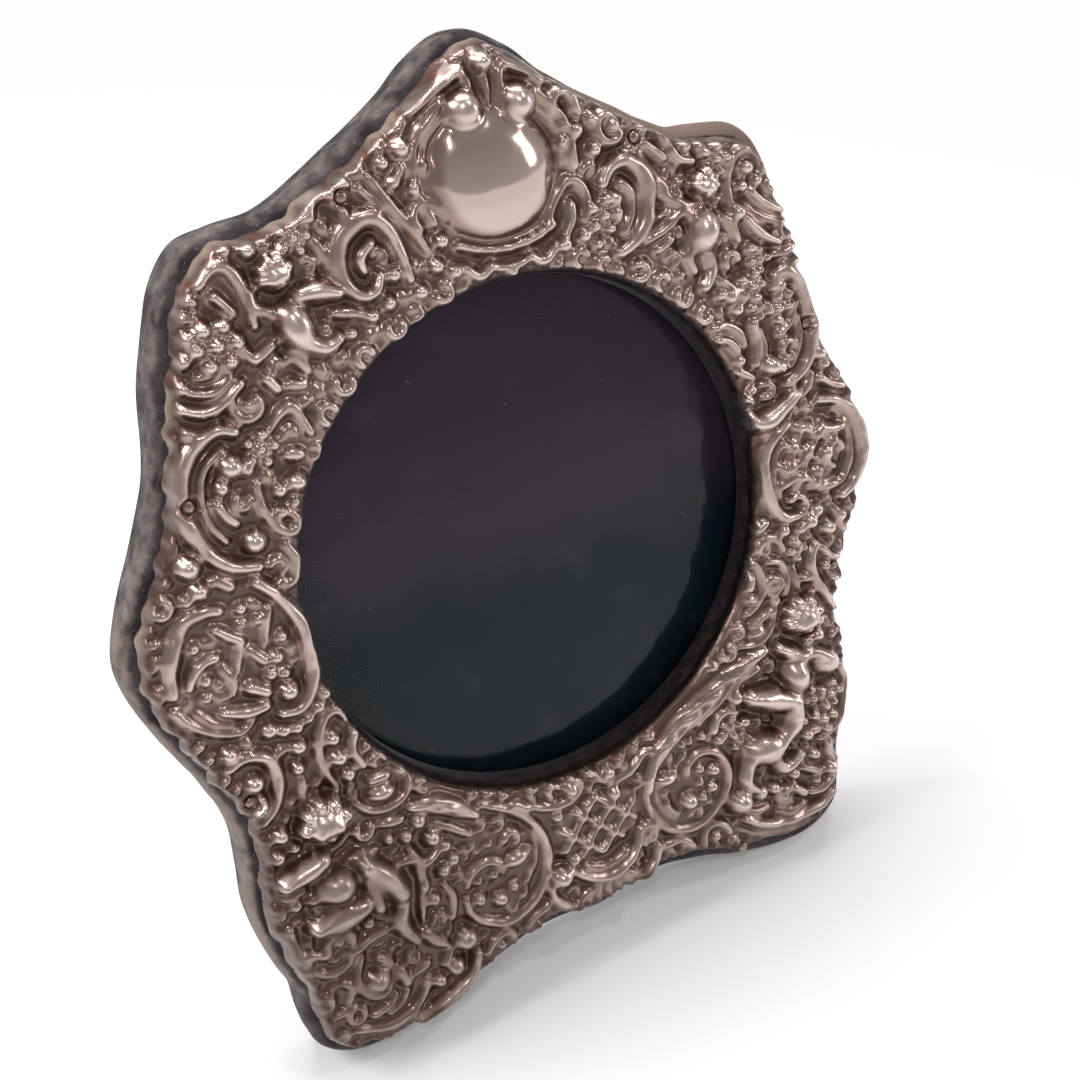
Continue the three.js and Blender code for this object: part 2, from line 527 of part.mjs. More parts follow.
function makeVelvetCover() {
  const cover = ringSolid((angle) => {
    const radius = outlineRadius(angle);
    const turnIn = silverEdge(angle) - VELVET_UNDERLAP;
    const outside = roundedRim(radius, velvetFront, velvetBack, EDGE_ROUND, OUTER_EDGE_STEPS);
    const innerRound = EDGE_ROUND - VELVET;
    const inside = roundedRim(radius - VELVET, GAP, -BOARD_THICKNESS - GAP, innerRound, INNER_EDGE_STEPS);
    return [
      [turnIn, velvetFront],
      ...outside,
      [doorSeat, velvetBack],
      [doorSeat, -BOARD_THICKNESS - GAP],
      ...inside.reverse(),
      [turnIn, GAP],
    ];
  }, OUTLINE_SECTORS);
  const pinHoles = pinPlaces.map(({ x, y }) => drill(x, y, pinHole, velvetFront + 1, 0));
  const screwHoles = clipPlaces.map(({ x, y }) =>
    drill(x, y, CLIP_SCREW_RADIUS + GAP, -BOARD_THICKNESS, velvetBack - 1),
  );
  return cut(cover, ...pinHoles, ...screwHoles);
}

const makeLining = () =>
  ringSolid(
    () => [[liningInner, GAP], [liningOuter, GAP], [liningOuter, -LIP_DEPTH], [liningInner, -LIP_DEPTH]],
    DISC_SECTORS,
  );

// Glass and what lies behind it
const makeGlass = () =>
  turned(
    [
      [0, glassBack],
      [glassRadius, glassBack],
      [glassRadius, glassFront - GLASS_BEVEL_DROP],
      [glassRadius - GLASS_BEVEL_WIDTH, glassFront],
      [0, glassFront],
    ],
    DISC_SECTORS,
  );

// Headed pin, rivet or screw on the z axis, its head rising from z = 0 and its shank going down
function headed(headRadius, headHeight, shankRadius, shankLength, sectors = 6) {
  return turned(
    [
      [0, -shankLength],
      [shankRadius, -shankLength],
      [shankRadius, 0],
      [headRadius, 0],
      [headRadius * 0.9, headHeight * 0.45],
      [headRadius * 0.55, headHeight * 0.85],
      [0, headHeight],
    ],
    sectors,
  );
}

// Back door: a panel with velvet over its back and edge
const rivetRow = [-RIVET_SPACING, 0, RIVET_SPACING];
const leafMiddle = KNUCKLE_RADIUS + GAP + (LEAF_HEIGHT - KNUCKLE_RADIUS - GAP) / 2;
const doorPanelRadius = doorRadius - VELVET - GAP;
const rivetHole = RIVET_RADIUS + GAP;

function makeDoorPanel() {
  const holes = rivetRow.map((x) =>
    drill(x, hingeHeight + leafMiddle, rivetHole, RIVET_DEPTH - BOARD_THICKNESS + GAP, -BOARD_THICKNESS - 1),
  );
  return cut(disc(doorPanelRadius, doorFront, -BOARD_THICKNESS), ...holes);
}

function makeDoorVelvet() {
  const lined = cut(
    disc(doorRadius, doorFront, velvetBack),
    disc(doorPanelRadius + GAP, doorFront + 1, -BOARD_THICKNESS - GAP),
  );
  return cut(
    lined,
    ...rivetRow.map((x) => drill(x, hingeHeight + leafMiddle, rivetHole, doorFront, velvetBack - 1)),
  );
}

// Hinge: the origin of these pieces is the middle of the hinge's axis, with the strut folded flat
const leafFront = KNUCKLE_RADIUS; // leaves lie flush with the front of the knuckles
const leafBack = leafFront - LEAF;
const strutInnerFace = leafBack - GAP;
const strutOuterFace = strutInnerFace - 2 * VELVET - 2 * GAP - STRUT_BOARD;
const hingeDepth = velvetBack - GAP - KNUCKLE_RADIUS;
const hingeBore = HINGE_PIN_RADIUS + HINGE_PIN_CLEARANCE;
const knuckleStep = KNUCKLE_LENGTH + GAP;
const hingePinLength = 3 * KNUCKLE_LENGTH + 2 * GAP + 2 * HINGE_PIN_PROUD;

const barrel = (radius, length, middle, sectors = 14) =>
  disc(radius, length / 2, -length / 2, sectors).rotateY(Math.PI / 2).translate(middle, 0, 0);

// Leaf above or below the axis, with knuckles at the given middles and room for the other leaf's
function leafWithKnuckles(side, own, others) {
  const plate = side > 0
    ? block(-LEAF_WIDTH / 2, LEAF_WIDTH / 2, 0, LEAF_HEIGHT, leafBack, leafFront)
    : block(-LEAF_WIDTH / 2, LEAF_WIDTH / 2, -LEAF_HEIGHT, 0, leafBack, leafFront);
  const reach = KNUCKLE_RADIUS + GAP;
  const beyond = 1.5 * KNUCKLE_LENGTH + 2 * GAP;
  const notches = others.map((x) => {
    const half = KNUCKLE_LENGTH / 2 + GAP;
    return block(x - half, x + half, -reach, reach, leafBack - 1, leafFront + 1);
  });
  const shoulders = [-1, 1].map((end) => {
    const [x0, x1] = end < 0 ? [-LEAF_WIDTH, -beyond] : [beyond, LEAF_WIDTH];
    return block(x0, x1, -reach, reach, leafBack - 1, leafFront + 1);
  });
  const knuckles = own.map((x) => barrel(KNUCKLE_RADIUS, KNUCKLE_LENGTH, x));
  const joined = join(cut(plate, ...notches, ...shoulders), ...knuckles);
  const bored = cut(joined, barrel(hingeBore, 4 * KNUCKLE_LENGTH, 0));
  const holes = rivetRow.map((x) => drill(x, side * leafMiddle, rivetHole, leafFront + 1, leafBack - 1));
  return cut(bored, ...holes);
}

// Where the open strut's top outer corner comes to rest, and the lugs on the door's leaf that stop it
const openCosine = Math.cos(radians(OPEN_ANGLE));
const openSine = Math.sin(radians(OPEN_ANGLE));
const stopHeight = -STRUT_TOP_GAP * openCosine - strutOuterFace * openSine + GAP;
const stopDepth = -STRUT_TOP_GAP * openSine + strutOuterFace * openCosine - STOP_LUG_REACH;

function makeDoorLeaf() {
  const leaf = leafWithKnuckles(1, [-knuckleStep, knuckleStep], [0]);
  const inner = LEAF_WIDTH / 2 - STOP_LUG_WIDTH;
  const root = KNUCKLE_RADIUS + GAP + LEAF;
  const lugs = [-1, 1].flatMap((side) => {
    const [x0, x1] = side < 0 ? [-LEAF_WIDTH / 2, -inner] : [inner, LEAF_WIDTH / 2];
    return [
      block(x0, x1, stopHeight, stopHeight + LEAF, stopDepth, leafFront),
      block(x0, x1, stopHeight, root + LEAF, leafBack, leafFront),
    ];
  });
  return join(leaf, ...lugs);
}

const makeStrutLeaf = () => leafWithKnuckles(-1, [0], [-knuckleStep, knuckleStep]);

// Places of the turn clips on the back of the board
const clipPlaces = Object.entries(CLIP_ANGLES).map(([name, degrees]) => ({
  name,
  angle: radians(degrees),
  x: clipPivotRadius * Math.cos(radians(degrees)),
  y: clipPivotRadius * Math.sin(radians(degrees)),
}));
const clipFront = velvetBack - GAP;

// Flat strip with round ends, its pivot hole at the origin and its length along x
function makeClip() {
  const half = CLIP_WIDTH / 2;
  const reach = CLIP_LENGTH - CLIP_WIDTH;
  const shape = new THREE.Shape();
  shape.absarc(0, 0, half, Math.PI / 2, (3 * Math.PI) / 2, false);
  shape.absarc(reach, 0, half, -Math.PI / 2, Math.PI / 2, false);
  const hole = new THREE.Path().absarc(0, 0, CLIP_SCREW_RADIUS + GAP, 0, 2 * Math.PI, true);
  shape.holes.push(hole);
  const strip = new THREE.ExtrudeGeometry(shape, { depth: CLIP, bevelEnabled: false, curveSegments: 6 });
  return strip.translate(0, 0, -CLIP);
}

function makeClipScrew() {
  const shank = CLIP_SCREW_DEPTH + GAP + VELVET + GAP + CLIP + GAP;
  const screw = headed(CLIP_SCREW_HEAD_RADIUS, CLIP_SCREW_HEAD_HEIGHT, CLIP_SCREW_RADIUS, shank, 10);
  const slot = block(
    -CLIP_SCREW_HEAD_RADIUS,
    CLIP_SCREW_HEAD_RADIUS,
    -SCREW_SLOT_WIDTH / 2,
    SCREW_SLOT_WIDTH / 2,
    CLIP_SCREW_HEAD_HEIGHT - SCREW_SLOT_DEPTH,
    CLIP_SCREW_HEAD_HEIGHT + 1,
  );
  return cut(screw, slot);
}

// The whole part, the leaning frame in it and the strut that swings from the frame
const root = new THREE.Group();
const leaning = new THREE.Group();
const strut = new THREE.Group();
leaning.rotation.x = Math.PI / 2 - radians(LEAN);
strut.position.set(0, hingeHeight, hingeDepth);
strut.rotation.x = radians(OPEN_ANGLE);
root.add(leaning);
leaning.add(strut);

function add(parent, name, geometry, material) {
  const mesh = new THREE.Mesh(geometry, material);
  mesh.name = name;
  parent.add(mesh);
  return mesh;
}

// The floor is set by the lowest points of the velvet, less the flat pressed into each foot
const velvetCover = makeVelvetCover();
velvetCover.computeBoundingBox();
root.updateMatrixWorld(true);
const lowest = new THREE.Box3().setFromBufferAttribute(
  velvetCover.clone().applyMatrix4(leaning.matrixWorld).getAttribute("position"),
).min.z;
leaning.position.z = -lowest - FOOT_FLAT;
root.updateMatrixWorld(true);

// Cuts a piece of a leaning group level, at a height above the floor
const FLOOR_REACH = 400;
function trimmedLevel(geometry, group, height) {
  const floor = block(-FLOOR_REACH, FLOOR_REACH, -FLOOR_REACH, FLOOR_REACH, -FLOOR_REACH, height);
  floor.applyMatrix4(group.matrixWorld.clone().invert());
  return cut(geometry, floor);
}

// Strut: a tapered board in a velvet sleeve that is open at the hinge end, standing on two toes
const strutLength = FLOOR_REACH / 2;
function strutPrism(inset, inner, outer, top, level) {
  const taper = (STRUT_FOOT_WIDTH - STRUT_TOP_WIDTH) / 2 / strutReach;
  const shape = new THREE.Shape();
  const halfTop = STRUT_TOP_WIDTH / 2 - inset;
  const halfEnd = halfTop + taper * strutLength;
  shape.moveTo(-halfTop, top);
  shape.lineTo(-halfEnd, -strutLength);
  shape.lineTo(halfEnd, -strutLength);
  shape.lineTo(halfTop, top);
  shape.closePath();
  const prism = new THREE.ExtrudeGeometry(shape, { depth: inner - outer, bevelEnabled: false });
  const trimmed = trimmedLevel(prism.translate(0, 0, outer), strut, level);
  const arch = drill(0, 0, 1, inner + 1, outer - 1, 16).scale(
    STRUT_ARCH_WIDTH / 2 + inset,
    STRUT_ARCH_HEIGHT + level,
    1,
  );
  return cut(trimmed, arch.translate(0, -strutReach, 0));
}
// Distance down the strut from the hinge's axis to the floor
const hingeAxis = new THREE.Vector3().setFromMatrixPosition(strut.matrixWorld);
const strutReach = hingeAxis.z / Math.cos(radians(OPEN_ANGLE - LEAN));

const strutBoardFront = strutInnerFace - VELVET - GAP;
const strutBoardBack = strutBoardFront - STRUT_BOARD;
const strutRivetHoles = rivetRow.map((x) =>
  drill(x, -leafMiddle, rivetHole, strutInnerFace + 1, strutOuterFace - 1),
);

function makeStrutBoard() {
  const board = strutPrism(VELVET + GAP, strutBoardFront, strutBoardBack, -STRUT_TOP_GAP, VELVET + GAP);
  return cut(board, ...strutRivetHoles);
}

function makeStrutVelvet() {
  const sleeve = strutPrism(0, strutInnerFace, strutOuterFace, -STRUT_TOP_GAP, 0);
  const room = strutPrism(VELVET, strutInnerFace - VELVET, strutOuterFace + VELVET, 1, VELVET);
  return cut(cut(sleeve, room), ...strutRivetHoles);
}

// Frame
add(leaning, "silver_front", makeSilverFront(), silver);
add(leaning, "backboard", makeBackboard(), oak);
add(leaning, "velvet_cover", trimmedLevel(velvetCover, leaning, 0), velvet);
add(leaning, "window_lining", makeLining(), darkVelvet);
add(leaning, "glass", makeGlass(), clearGlass);
add(leaning, "photo_card", disc(glassRadius, photoFront, photoFront - PHOTO_CARD), blackCard);
add(leaning, "packing_card", disc(glassRadius, packingFront, packingFront - PACKING_CARD), strawCard);
pinPlaces.forEach(({ x, y }, k) => {
  const pin = headed(PIN_HEAD_RADIUS, PIN_HEAD_HEIGHT, PIN_RADIUS, PIN_DEPTH + sheetBase + SHEET + GAP);
  add(leaning, `silver_pin_${k + 1}`, pin, silver).position.set(x, y, sheetBase + SHEET + GAP);
});

// Back door with the fixed half of the hinge
add(leaning, "door_panel", makeDoorPanel(), oak);
add(leaning, "door_velvet", makeDoorVelvet(), velvet);
const hinge = new THREE.Group();
hinge.position.copy(strut.position);
leaning.add(hinge);
add(hinge, "hinge_door_leaf", makeDoorLeaf(), brass);
add(hinge, "hinge_pin", barrel(HINGE_PIN_RADIUS, hingePinLength, 0, 12), brass);
rivetRow.forEach((x, k) => {
  const length = LEAF + 2 * GAP + VELVET + GAP + RIVET_DEPTH;
  const rivet = headed(RIVET_HEAD_RADIUS, RIVET_HEAD_HEIGHT, RIVET_RADIUS, length).rotateX(Math.PI);
  add(hinge, `door_rivet_${k + 1}`, rivet, brass).position.set(x, leafMiddle, leafBack - GAP);
});

// Strut with the moving half of the hinge
add(strut, "strut_board", makeStrutBoard(), oak);
add(strut, "strut_velvet", makeStrutVelvet(), velvet);
add(strut, "hinge_strut_leaf", makeStrutLeaf(), brass);
rivetRow.forEach((x, k) => {
  const length = leafFront - strutOuterFace + GAP;
  const rivet = headed(RIVET_HEAD_RADIUS, RIVET_HEAD_HEIGHT, RIVET_RADIUS, length).rotateX(Math.PI);
  add(strut, `strut_rivet_${k + 1}`, rivet, brass).position.set(x, -leafMiddle, strutOuterFace - GAP);
});

// Turn clips, standing turned aside from the door along its edge
clipPlaces.forEach(({ name, angle, x, y }) => {
  const clip = add(leaning, `turn_clip_${name}`, makeClip(), brass);
  clip.position.set(x, y, clipFront);
  clip.rotation.z = angle + (Math.sin(2 * angle) > 0 ? Math.PI / 2 : -Math.PI / 2);
  const screw = add(leaning, `clip_screw_${name}`, makeClipScrew().rotateX(Math.PI), brass);
  screw.position.set(x, y, clipFront - CLIP - GAP);
});

// Origin on the floor under the middle of the part
root.updateMatrixWorld(true);
const reach = new THREE.Box3().setFromObject(root, true);
leaning.position.x -= (reach.min.x + reach.max.x) / 2;
leaning.position.y -= (reach.min.y + reach.max.y) / 2;

export default root;
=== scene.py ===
"""Repousse silver photograph frame: fine surfaces, finishes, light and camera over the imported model.

Lengths inside the classes are millimetres on the leaning face: x across it, y up it and z out of
it, with their origin at the middle of the round window on the front of the board.
"""
import json
import logging
import math
from contextlib import contextmanager
from dataclasses import dataclass
from enum import Enum
from typing import Iterable, Iterator, Sequence, Union

import bmesh
import bpy
import numpy as np
from mathutils import Matrix, Vector


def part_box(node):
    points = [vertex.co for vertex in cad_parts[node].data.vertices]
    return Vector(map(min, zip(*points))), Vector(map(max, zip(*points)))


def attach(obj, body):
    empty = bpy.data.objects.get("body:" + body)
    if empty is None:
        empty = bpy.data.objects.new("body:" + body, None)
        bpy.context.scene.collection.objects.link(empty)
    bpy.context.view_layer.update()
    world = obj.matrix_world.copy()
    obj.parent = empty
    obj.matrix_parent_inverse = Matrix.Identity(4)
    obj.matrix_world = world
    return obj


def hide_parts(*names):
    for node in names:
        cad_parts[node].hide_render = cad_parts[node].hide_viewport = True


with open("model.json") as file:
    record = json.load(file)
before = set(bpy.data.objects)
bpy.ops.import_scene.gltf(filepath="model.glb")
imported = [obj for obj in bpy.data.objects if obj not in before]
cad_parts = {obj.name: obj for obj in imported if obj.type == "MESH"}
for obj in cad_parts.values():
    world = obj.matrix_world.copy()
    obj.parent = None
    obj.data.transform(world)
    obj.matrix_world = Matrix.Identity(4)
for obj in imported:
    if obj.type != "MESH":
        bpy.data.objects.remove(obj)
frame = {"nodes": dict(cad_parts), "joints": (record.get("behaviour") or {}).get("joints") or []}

LOG = logging.getLogger("photograph_frame")
MM = 0.001
FULL_TURN = 2 * math.pi
EDGE_ROUNDING = 5.0
VELVET = 0.8
GLUE_GAP = 0.3
MERGE = 1e-6
WELD = 1e-7
SLIVER = 0.03

Point = tuple[float, float, float]
Color = Point
Range = tuple[float, float]
Waves = tuple[tuple[int, float, float], ...]
Mesh = bpy.types.Mesh
Material = bpy.types.Material
Socket = bpy.types.NodeSocket


class Body(Enum):
    """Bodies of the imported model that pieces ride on."""

    FRAME = "frame"
    DOOR = "back_door"
    STRUT = "strut"
    CLIP_UPPER_RIGHT = "clip_upper_right"
    CLIP_UPPER_LEFT = "clip_upper_left"
    CLIP_LOWER_LEFT = "clip_lower_left"
    CLIP_LOWER_RIGHT = "clip_lower_right"


class Slot(Enum):
    """Material slots of the record."""

    SILVER = "silver"
    VELVET = "velvet"
    LINING = "lining"
    GLASS = "glass"
    BRASS = "brass"


# Axes, meshes and pieces


@dataclass(frozen=True)
class Axes:
    """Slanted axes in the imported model: x is shared, up and out are unit vectors, origin in metres."""

    origin: Vector
    up: Vector
    out: Vector

    def matrix(self) -> Matrix:
        """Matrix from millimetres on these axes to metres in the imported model."""
        turn = Matrix((Vector((1, 0, 0)), self.up, self.out)).transposed()
        return Matrix.Translation(self.origin) @ turn.to_4x4() @ Matrix.Scale(MM, 4)

    def place(self, points: np.ndarray) -> np.ndarray:
        """Carries rows of x, y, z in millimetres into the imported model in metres."""
        matrix = np.array(self.matrix())
        return points @ matrix[:3, :3].T + matrix[:3, 3]

    def local(self, point: Sequence[float]) -> Vector:
        """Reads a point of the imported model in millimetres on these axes."""
        return self.matrix().inverted() @ Vector(point)

    def swung(self, hinge: Sequence[float], degrees: float) -> "Axes":
        """Axes of a flap hinged along x.

        Args:
            hinge: a point of the hinge's axis in metres.
            degrees: how far the flap is open from lying along these axes.

        Returns:
            The flap's own axes, with their origin on the hinge.
        """
        turn = math.radians(degrees)
        up = self.up * math.cos(turn) + self.out * math.sin(turn)
        return Axes(Vector(hinge), up, self.out * math.cos(turn) - self.up * math.sin(turn))


def joint_named(name: str) -> dict:
    """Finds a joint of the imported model."""
    return next(joint for joint in frame["joints"] if joint["name"] == name)


def add_object(name: str, data: bpy.types.ID) -> bpy.types.Object:
    """Adds an object to the scene."""
    thing = bpy.data.objects.new(name, data)
    bpy.context.scene.collection.objects.link(thing)
    return thing


def add_piece(mesh: Mesh, material: Material, body: Body, nodes: Iterable[str]) -> None:
    """Adds a finished piece that stands for some nodes.

    Args:
        mesh: the piece's mesh, in place, whose name the piece takes.
        material: its finish.
        body: the body that it rides on.
        nodes: the nodes that it replaces.
    """
    piece = add_object(mesh.name, mesh)
    mesh.materials.clear()
    mesh.materials.append(material)
    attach(piece, body.value)
    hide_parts(*nodes)
    LOG.info("%s: %d faces on %s", mesh.name, len(mesh.polygons), body.value)


def dress_node(name: str, material: Material) -> None:
    """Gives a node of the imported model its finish."""
    node = frame["nodes"][name]
    if not node.material_slots:
        node.data.materials.append(material)
    for slot in node.material_slots:
        slot.material = material
    LOG.info("%s: dressed as it is", name)


def mesh_from(name: str, points: np.ndarray, faces: Sequence[Sequence[int]]) -> Mesh:
    """Makes a smooth-shaded mesh from points in metres and faces of point numbers."""
    mesh = bpy.data.meshes.new(name)
    mesh.from_pydata(np.asarray(points, dtype=float).tolist(), [], faces)
    mesh.shade_smooth()
    return mesh


def store(mesh: Mesh, name: str, values: np.ndarray) -> None:
    """Keeps one number for each point of a mesh, for its finish to read."""
    mesh.attributes.new(name, "FLOAT", "POINT").data.foreach_set("value", values.astype(np.float32))


def rest_on_floor(mesh: Mesh) -> None:
    """Presses flat whatever would pass below the floor."""
    for vertex in mesh.vertices:
        vertex.co.z = max(vertex.co.z, 0.0)


def shade(mesh: Mesh, crease: float) -> None:
    """Shades a mesh smooth, apart from the edges that turn by more than the crease in degrees."""
    mesh.shade_smooth()
    mesh.set_sharp_from_angle(angle=math.radians(crease))


@contextmanager
def reworked(mesh: Mesh, start: Mesh) -> Iterator[bmesh.types.BMesh]:
    """Lends a mesh out for editing.

    Args:
        mesh: the mesh that gets the result, with its faces turned outward.
        start: the mesh that the editing starts from, which may be the same one.

    Yields:
        The mesh as it is edited.
    """
    work = bmesh.new()
    work.from_mesh(start)
    yield work
    bmesh.ops.recalc_face_normals(work, faces=work.faces)
    work.to_mesh(mesh)
    work.free()


def round_edges(work: bmesh.types.BMesh, turn: float, width: float, segments: int) -> None:
    """Rounds the edges of a mesh that turn by more than an angle.

    Args:
        work: the mesh, as it is edited.
        turn: the angle in degrees.
        width: width of the rounding in millimetres.
        segments: facets across the rounding.
    """
    sharp = [edge for edge in work.edges if edge.calc_face_angle(0) > math.radians(turn)]
    shape = {"offset": width * MM, "segments": segments, "profile": 0.5}
    bmesh.ops.bevel(work, geom=sharp, affect="EDGES", clamp_overlap=True, **shape)


def split_wide_faces(work: bmesh.types.BMesh) -> None:
    """Cuts faces of more than four corners into triangles."""
    bmesh.ops.triangulate(work, faces=[face for face in work.faces if len(face.verts) > 4])


def eased_copy(node: str, name: str, width: float) -> Mesh:
    """Copies a node's mesh with its facets joined and its sharp edges rounded.

    Args:
        node: the node to copy.
        name: name of the new mesh.
        width: width of the rounding in millimetres.

    Returns:
        The new mesh, in place.
    """
    flat, sharp, crease = 2, 50, 38
    mesh = bpy.data.meshes.new(name)
    with reworked(mesh, frame["nodes"][node].data) as work:
        bmesh.ops.remove_doubles(work, verts=work.verts, dist=MERGE)
        bmesh.ops.dissolve_limit(work, angle_limit=math.radians(flat), verts=work.verts, edges=work.edges)
        round_edges(work, sharp, width, segments=2)
        bmesh.ops.dissolve_degenerate(work, dist=SLIVER * MM, edges=work.edges)
        split_wide_faces(work)
    shade(mesh, crease)
    return mesh


def ring_mesh(name: str, axes: Axes, radii: np.ndarray, depths: np.ndarray) -> Mesh:
    """Sweeps a closed section round the window.

    Args:
        name: name of the mesh.
        axes: axes that the section is placed on.
        radii: radius of each point of the section, one row a sector.
        depths: its z, shaped as radii.

    Returns:
        A closed ring with its faces pointing out of the section, which runs clockwise.
    """
    sectors, count = radii.shape
    angles = turns_round(sectors)[:, None]
    points = np.stack([radii * np.cos(angles), radii * np.sin(angles), depths], axis=-1)
    here = np.arange(sectors * count).reshape(sectors, count)
    there = np.roll(here, -1, axis=0)
    quads = np.stack([there, np.roll(there, -1, 1), np.roll(here, -1, 1), here], axis=-1)
    return mesh_from(name, axes.place(points.reshape(-1, 3)), quads.reshape(-1, 4).tolist())


def turned_mesh(name: str, axes: Axes, section: Sequence[Range], sectors: int = 192) -> Mesh:
    """Turns a section round the window's axis.

    Args:
        name: name of the mesh.
        axes: axes that the section is placed on.
        section: radius and z pairs, clockwise with the radius to the right.
        sectors: facets round the axis.

    Returns:
        A closed mesh, whose points on the axis are merged.
    """
    crease = 40
    radii, depths = np.array(section, dtype=float).T
    mesh = ring_mesh(name, axes, np.tile(radii, (sectors, 1)), np.tile(depths, (sectors, 1)))
    with reworked(mesh, mesh) as work:
        bmesh.ops.remove_doubles(work, verts=work.verts, dist=MERGE)
    shade(mesh, crease)
    return mesh


# Curves and easing


def parse_points(text: str) -> np.ndarray:
    """Reads numbers written as "x y, x y" into rows."""
    return np.array([[float(number) for number in point.split()] for point in text.split(",")])


def turns_round(count: int) -> np.ndarray:
    """Angles of equal sectors round the window, in radians."""
    return np.linspace(0, FULL_TURN, count, endpoint=False)


def wobble(angles: np.ndarray, waves: Waves) -> np.ndarray:
    """Sum of waves round the window, each a count, a size in millimetres and a shift in radians."""
    return sum(size * np.cos(count * angles + shift) for count, size, shift in waves)


def smoothstep(value: np.ndarray, low: float, high: float) -> np.ndarray:
    """Eases a value from 0 at low to 1 at high."""
    share = np.clip((value - low) / (high - low), 0, 1)
    return share * share * (3 - 2 * share)


def quarter_round(radius: float, steps: int) -> np.ndarray:
    """How far a rounded corner stands back from its two sides, in rows from one side to the other."""
    turns = np.linspace(0, math.pi / 2, steps + 1)
    return radius * (1 - np.stack([np.sin(turns), np.cos(turns)], axis=1))


def smooth_loop(loop: np.ndarray, steps: int = 24) -> np.ndarray:
    """Closed centripetal Catmull-Rom curve through the rows of a loop."""
    share = (np.arange(steps) / steps)[:, None]
    pieces = []
    for k in range(len(loop)):
        p0, p1, p2, p3 = (loop[(k + shift) % len(loop)] for shift in (-1, 0, 1, 2))
        d0, d1, d2 = (math.sqrt(np.linalg.norm(b - a)) for a, b in ((p0, p1), (p1, p2), (p2, p3)))
        lead = d1 * ((p1 - p0) / d0 - (p2 - p0) / (d0 + d1) + (p2 - p1) / d1)
        trail = d1 * ((p2 - p1) / d1 - (p3 - p1) / (d1 + d2) + (p3 - p2) / d2)
        cubic = 2 * p1 - 2 * p2 + lead + trail
        square = -3 * p1 + 3 * p2 - 2 * lead - trail
        pieces.append(cubic * share**3 + square * share**2 + lead * share + p1)
    return np.concatenate(pieces)


@dataclass(frozen=True)
class Outline:
    """Right half of the board's outline over its velvet, from the crest down to the middle of the base."""

    points: str = (
        "0 92.2, 8.5 88.6, 14.5 83.8, 26.8 76.4, 40 69.6, 48.3 68.4, 54.8 66.8, 60 60.9, 62.8 54.1, "
        "65.7 45.7, 68.7 31.3, 72.7 22, 79.3 8.6, 81.7 0, 80.2 -8.6, 74.2 -23.1, 70.2 -35.5, "
        "70.5 -45, 71.1 -54, 69.3 -64.7, 66.8 -73.1, 66.4 -80.6, 65 -87, 59.5 -91.2, 50 -92.2, "
        "38 -90.2, 27 -86.6, 16 -84.3, 7 -84.8, 0 -86"
    )

    def radius(self, angles: np.ndarray) -> np.ndarray:
        """Distance from the window's middle to the outline at each angle in radians."""
        half = parse_points(self.points)
        curve = smooth_loop(np.concatenate([half, half[-2:0:-1] * (-1, 1)]))
        turns = np.arctan2(curve[:, 1], curve[:, 0]) % FULL_TURN
        order = np.argsort(turns)
        reach = np.hypot(curve[:, 0], curve[:, 1])
        return np.interp(angles % FULL_TURN, turns[order], reach[order], period=FULL_TURN)


# Node trees


class Nodes:
    """A node tree under construction."""

    def __init__(self, tree: bpy.types.NodeTree) -> None:
        """Starts from an emptied tree."""
        self.tree = tree
        self.tree.nodes.clear()

    def add(self, kind: str, inputs: Union[dict, None] = None, **settings: object) -> bpy.types.Node:
        """Adds a node.

        Args:
            kind: the node's type.
            inputs: sockets by name or number, each with a value or a socket to link from.
            settings: the node's own settings.

        Returns:
            The new node.
        """
        node = self.tree.nodes.new(kind)
        for key, value in settings.items():
            setattr(node, key, value)
        for key, value in (inputs or {}).items():
            self.set(node.inputs[key], value)
        return node

    def set(self, socket: Socket, value: object) -> None:
        """Links a socket into another, or sets its value."""
        if isinstance(value, Socket):
            self.tree.links.new(value, socket)
        elif socket.type == "RGBA":
            socket.default_value = (*value, 1.0)
        else:
            socket.default_value = value

    def math(self, operation: str, first: object, second: object) -> Socket:
        """One sum of two numbers or sockets."""
        return self.add("ShaderNodeMath", {0: first, 1: second}, operation=operation).outputs[0]


@dataclass(frozen=True)
class Noise:
    """A noise on Object coordinates, with its scale in features a metre."""

    scale: float
    detail: float
    stretch: tuple[float, float, float] = (1, 1, 1)


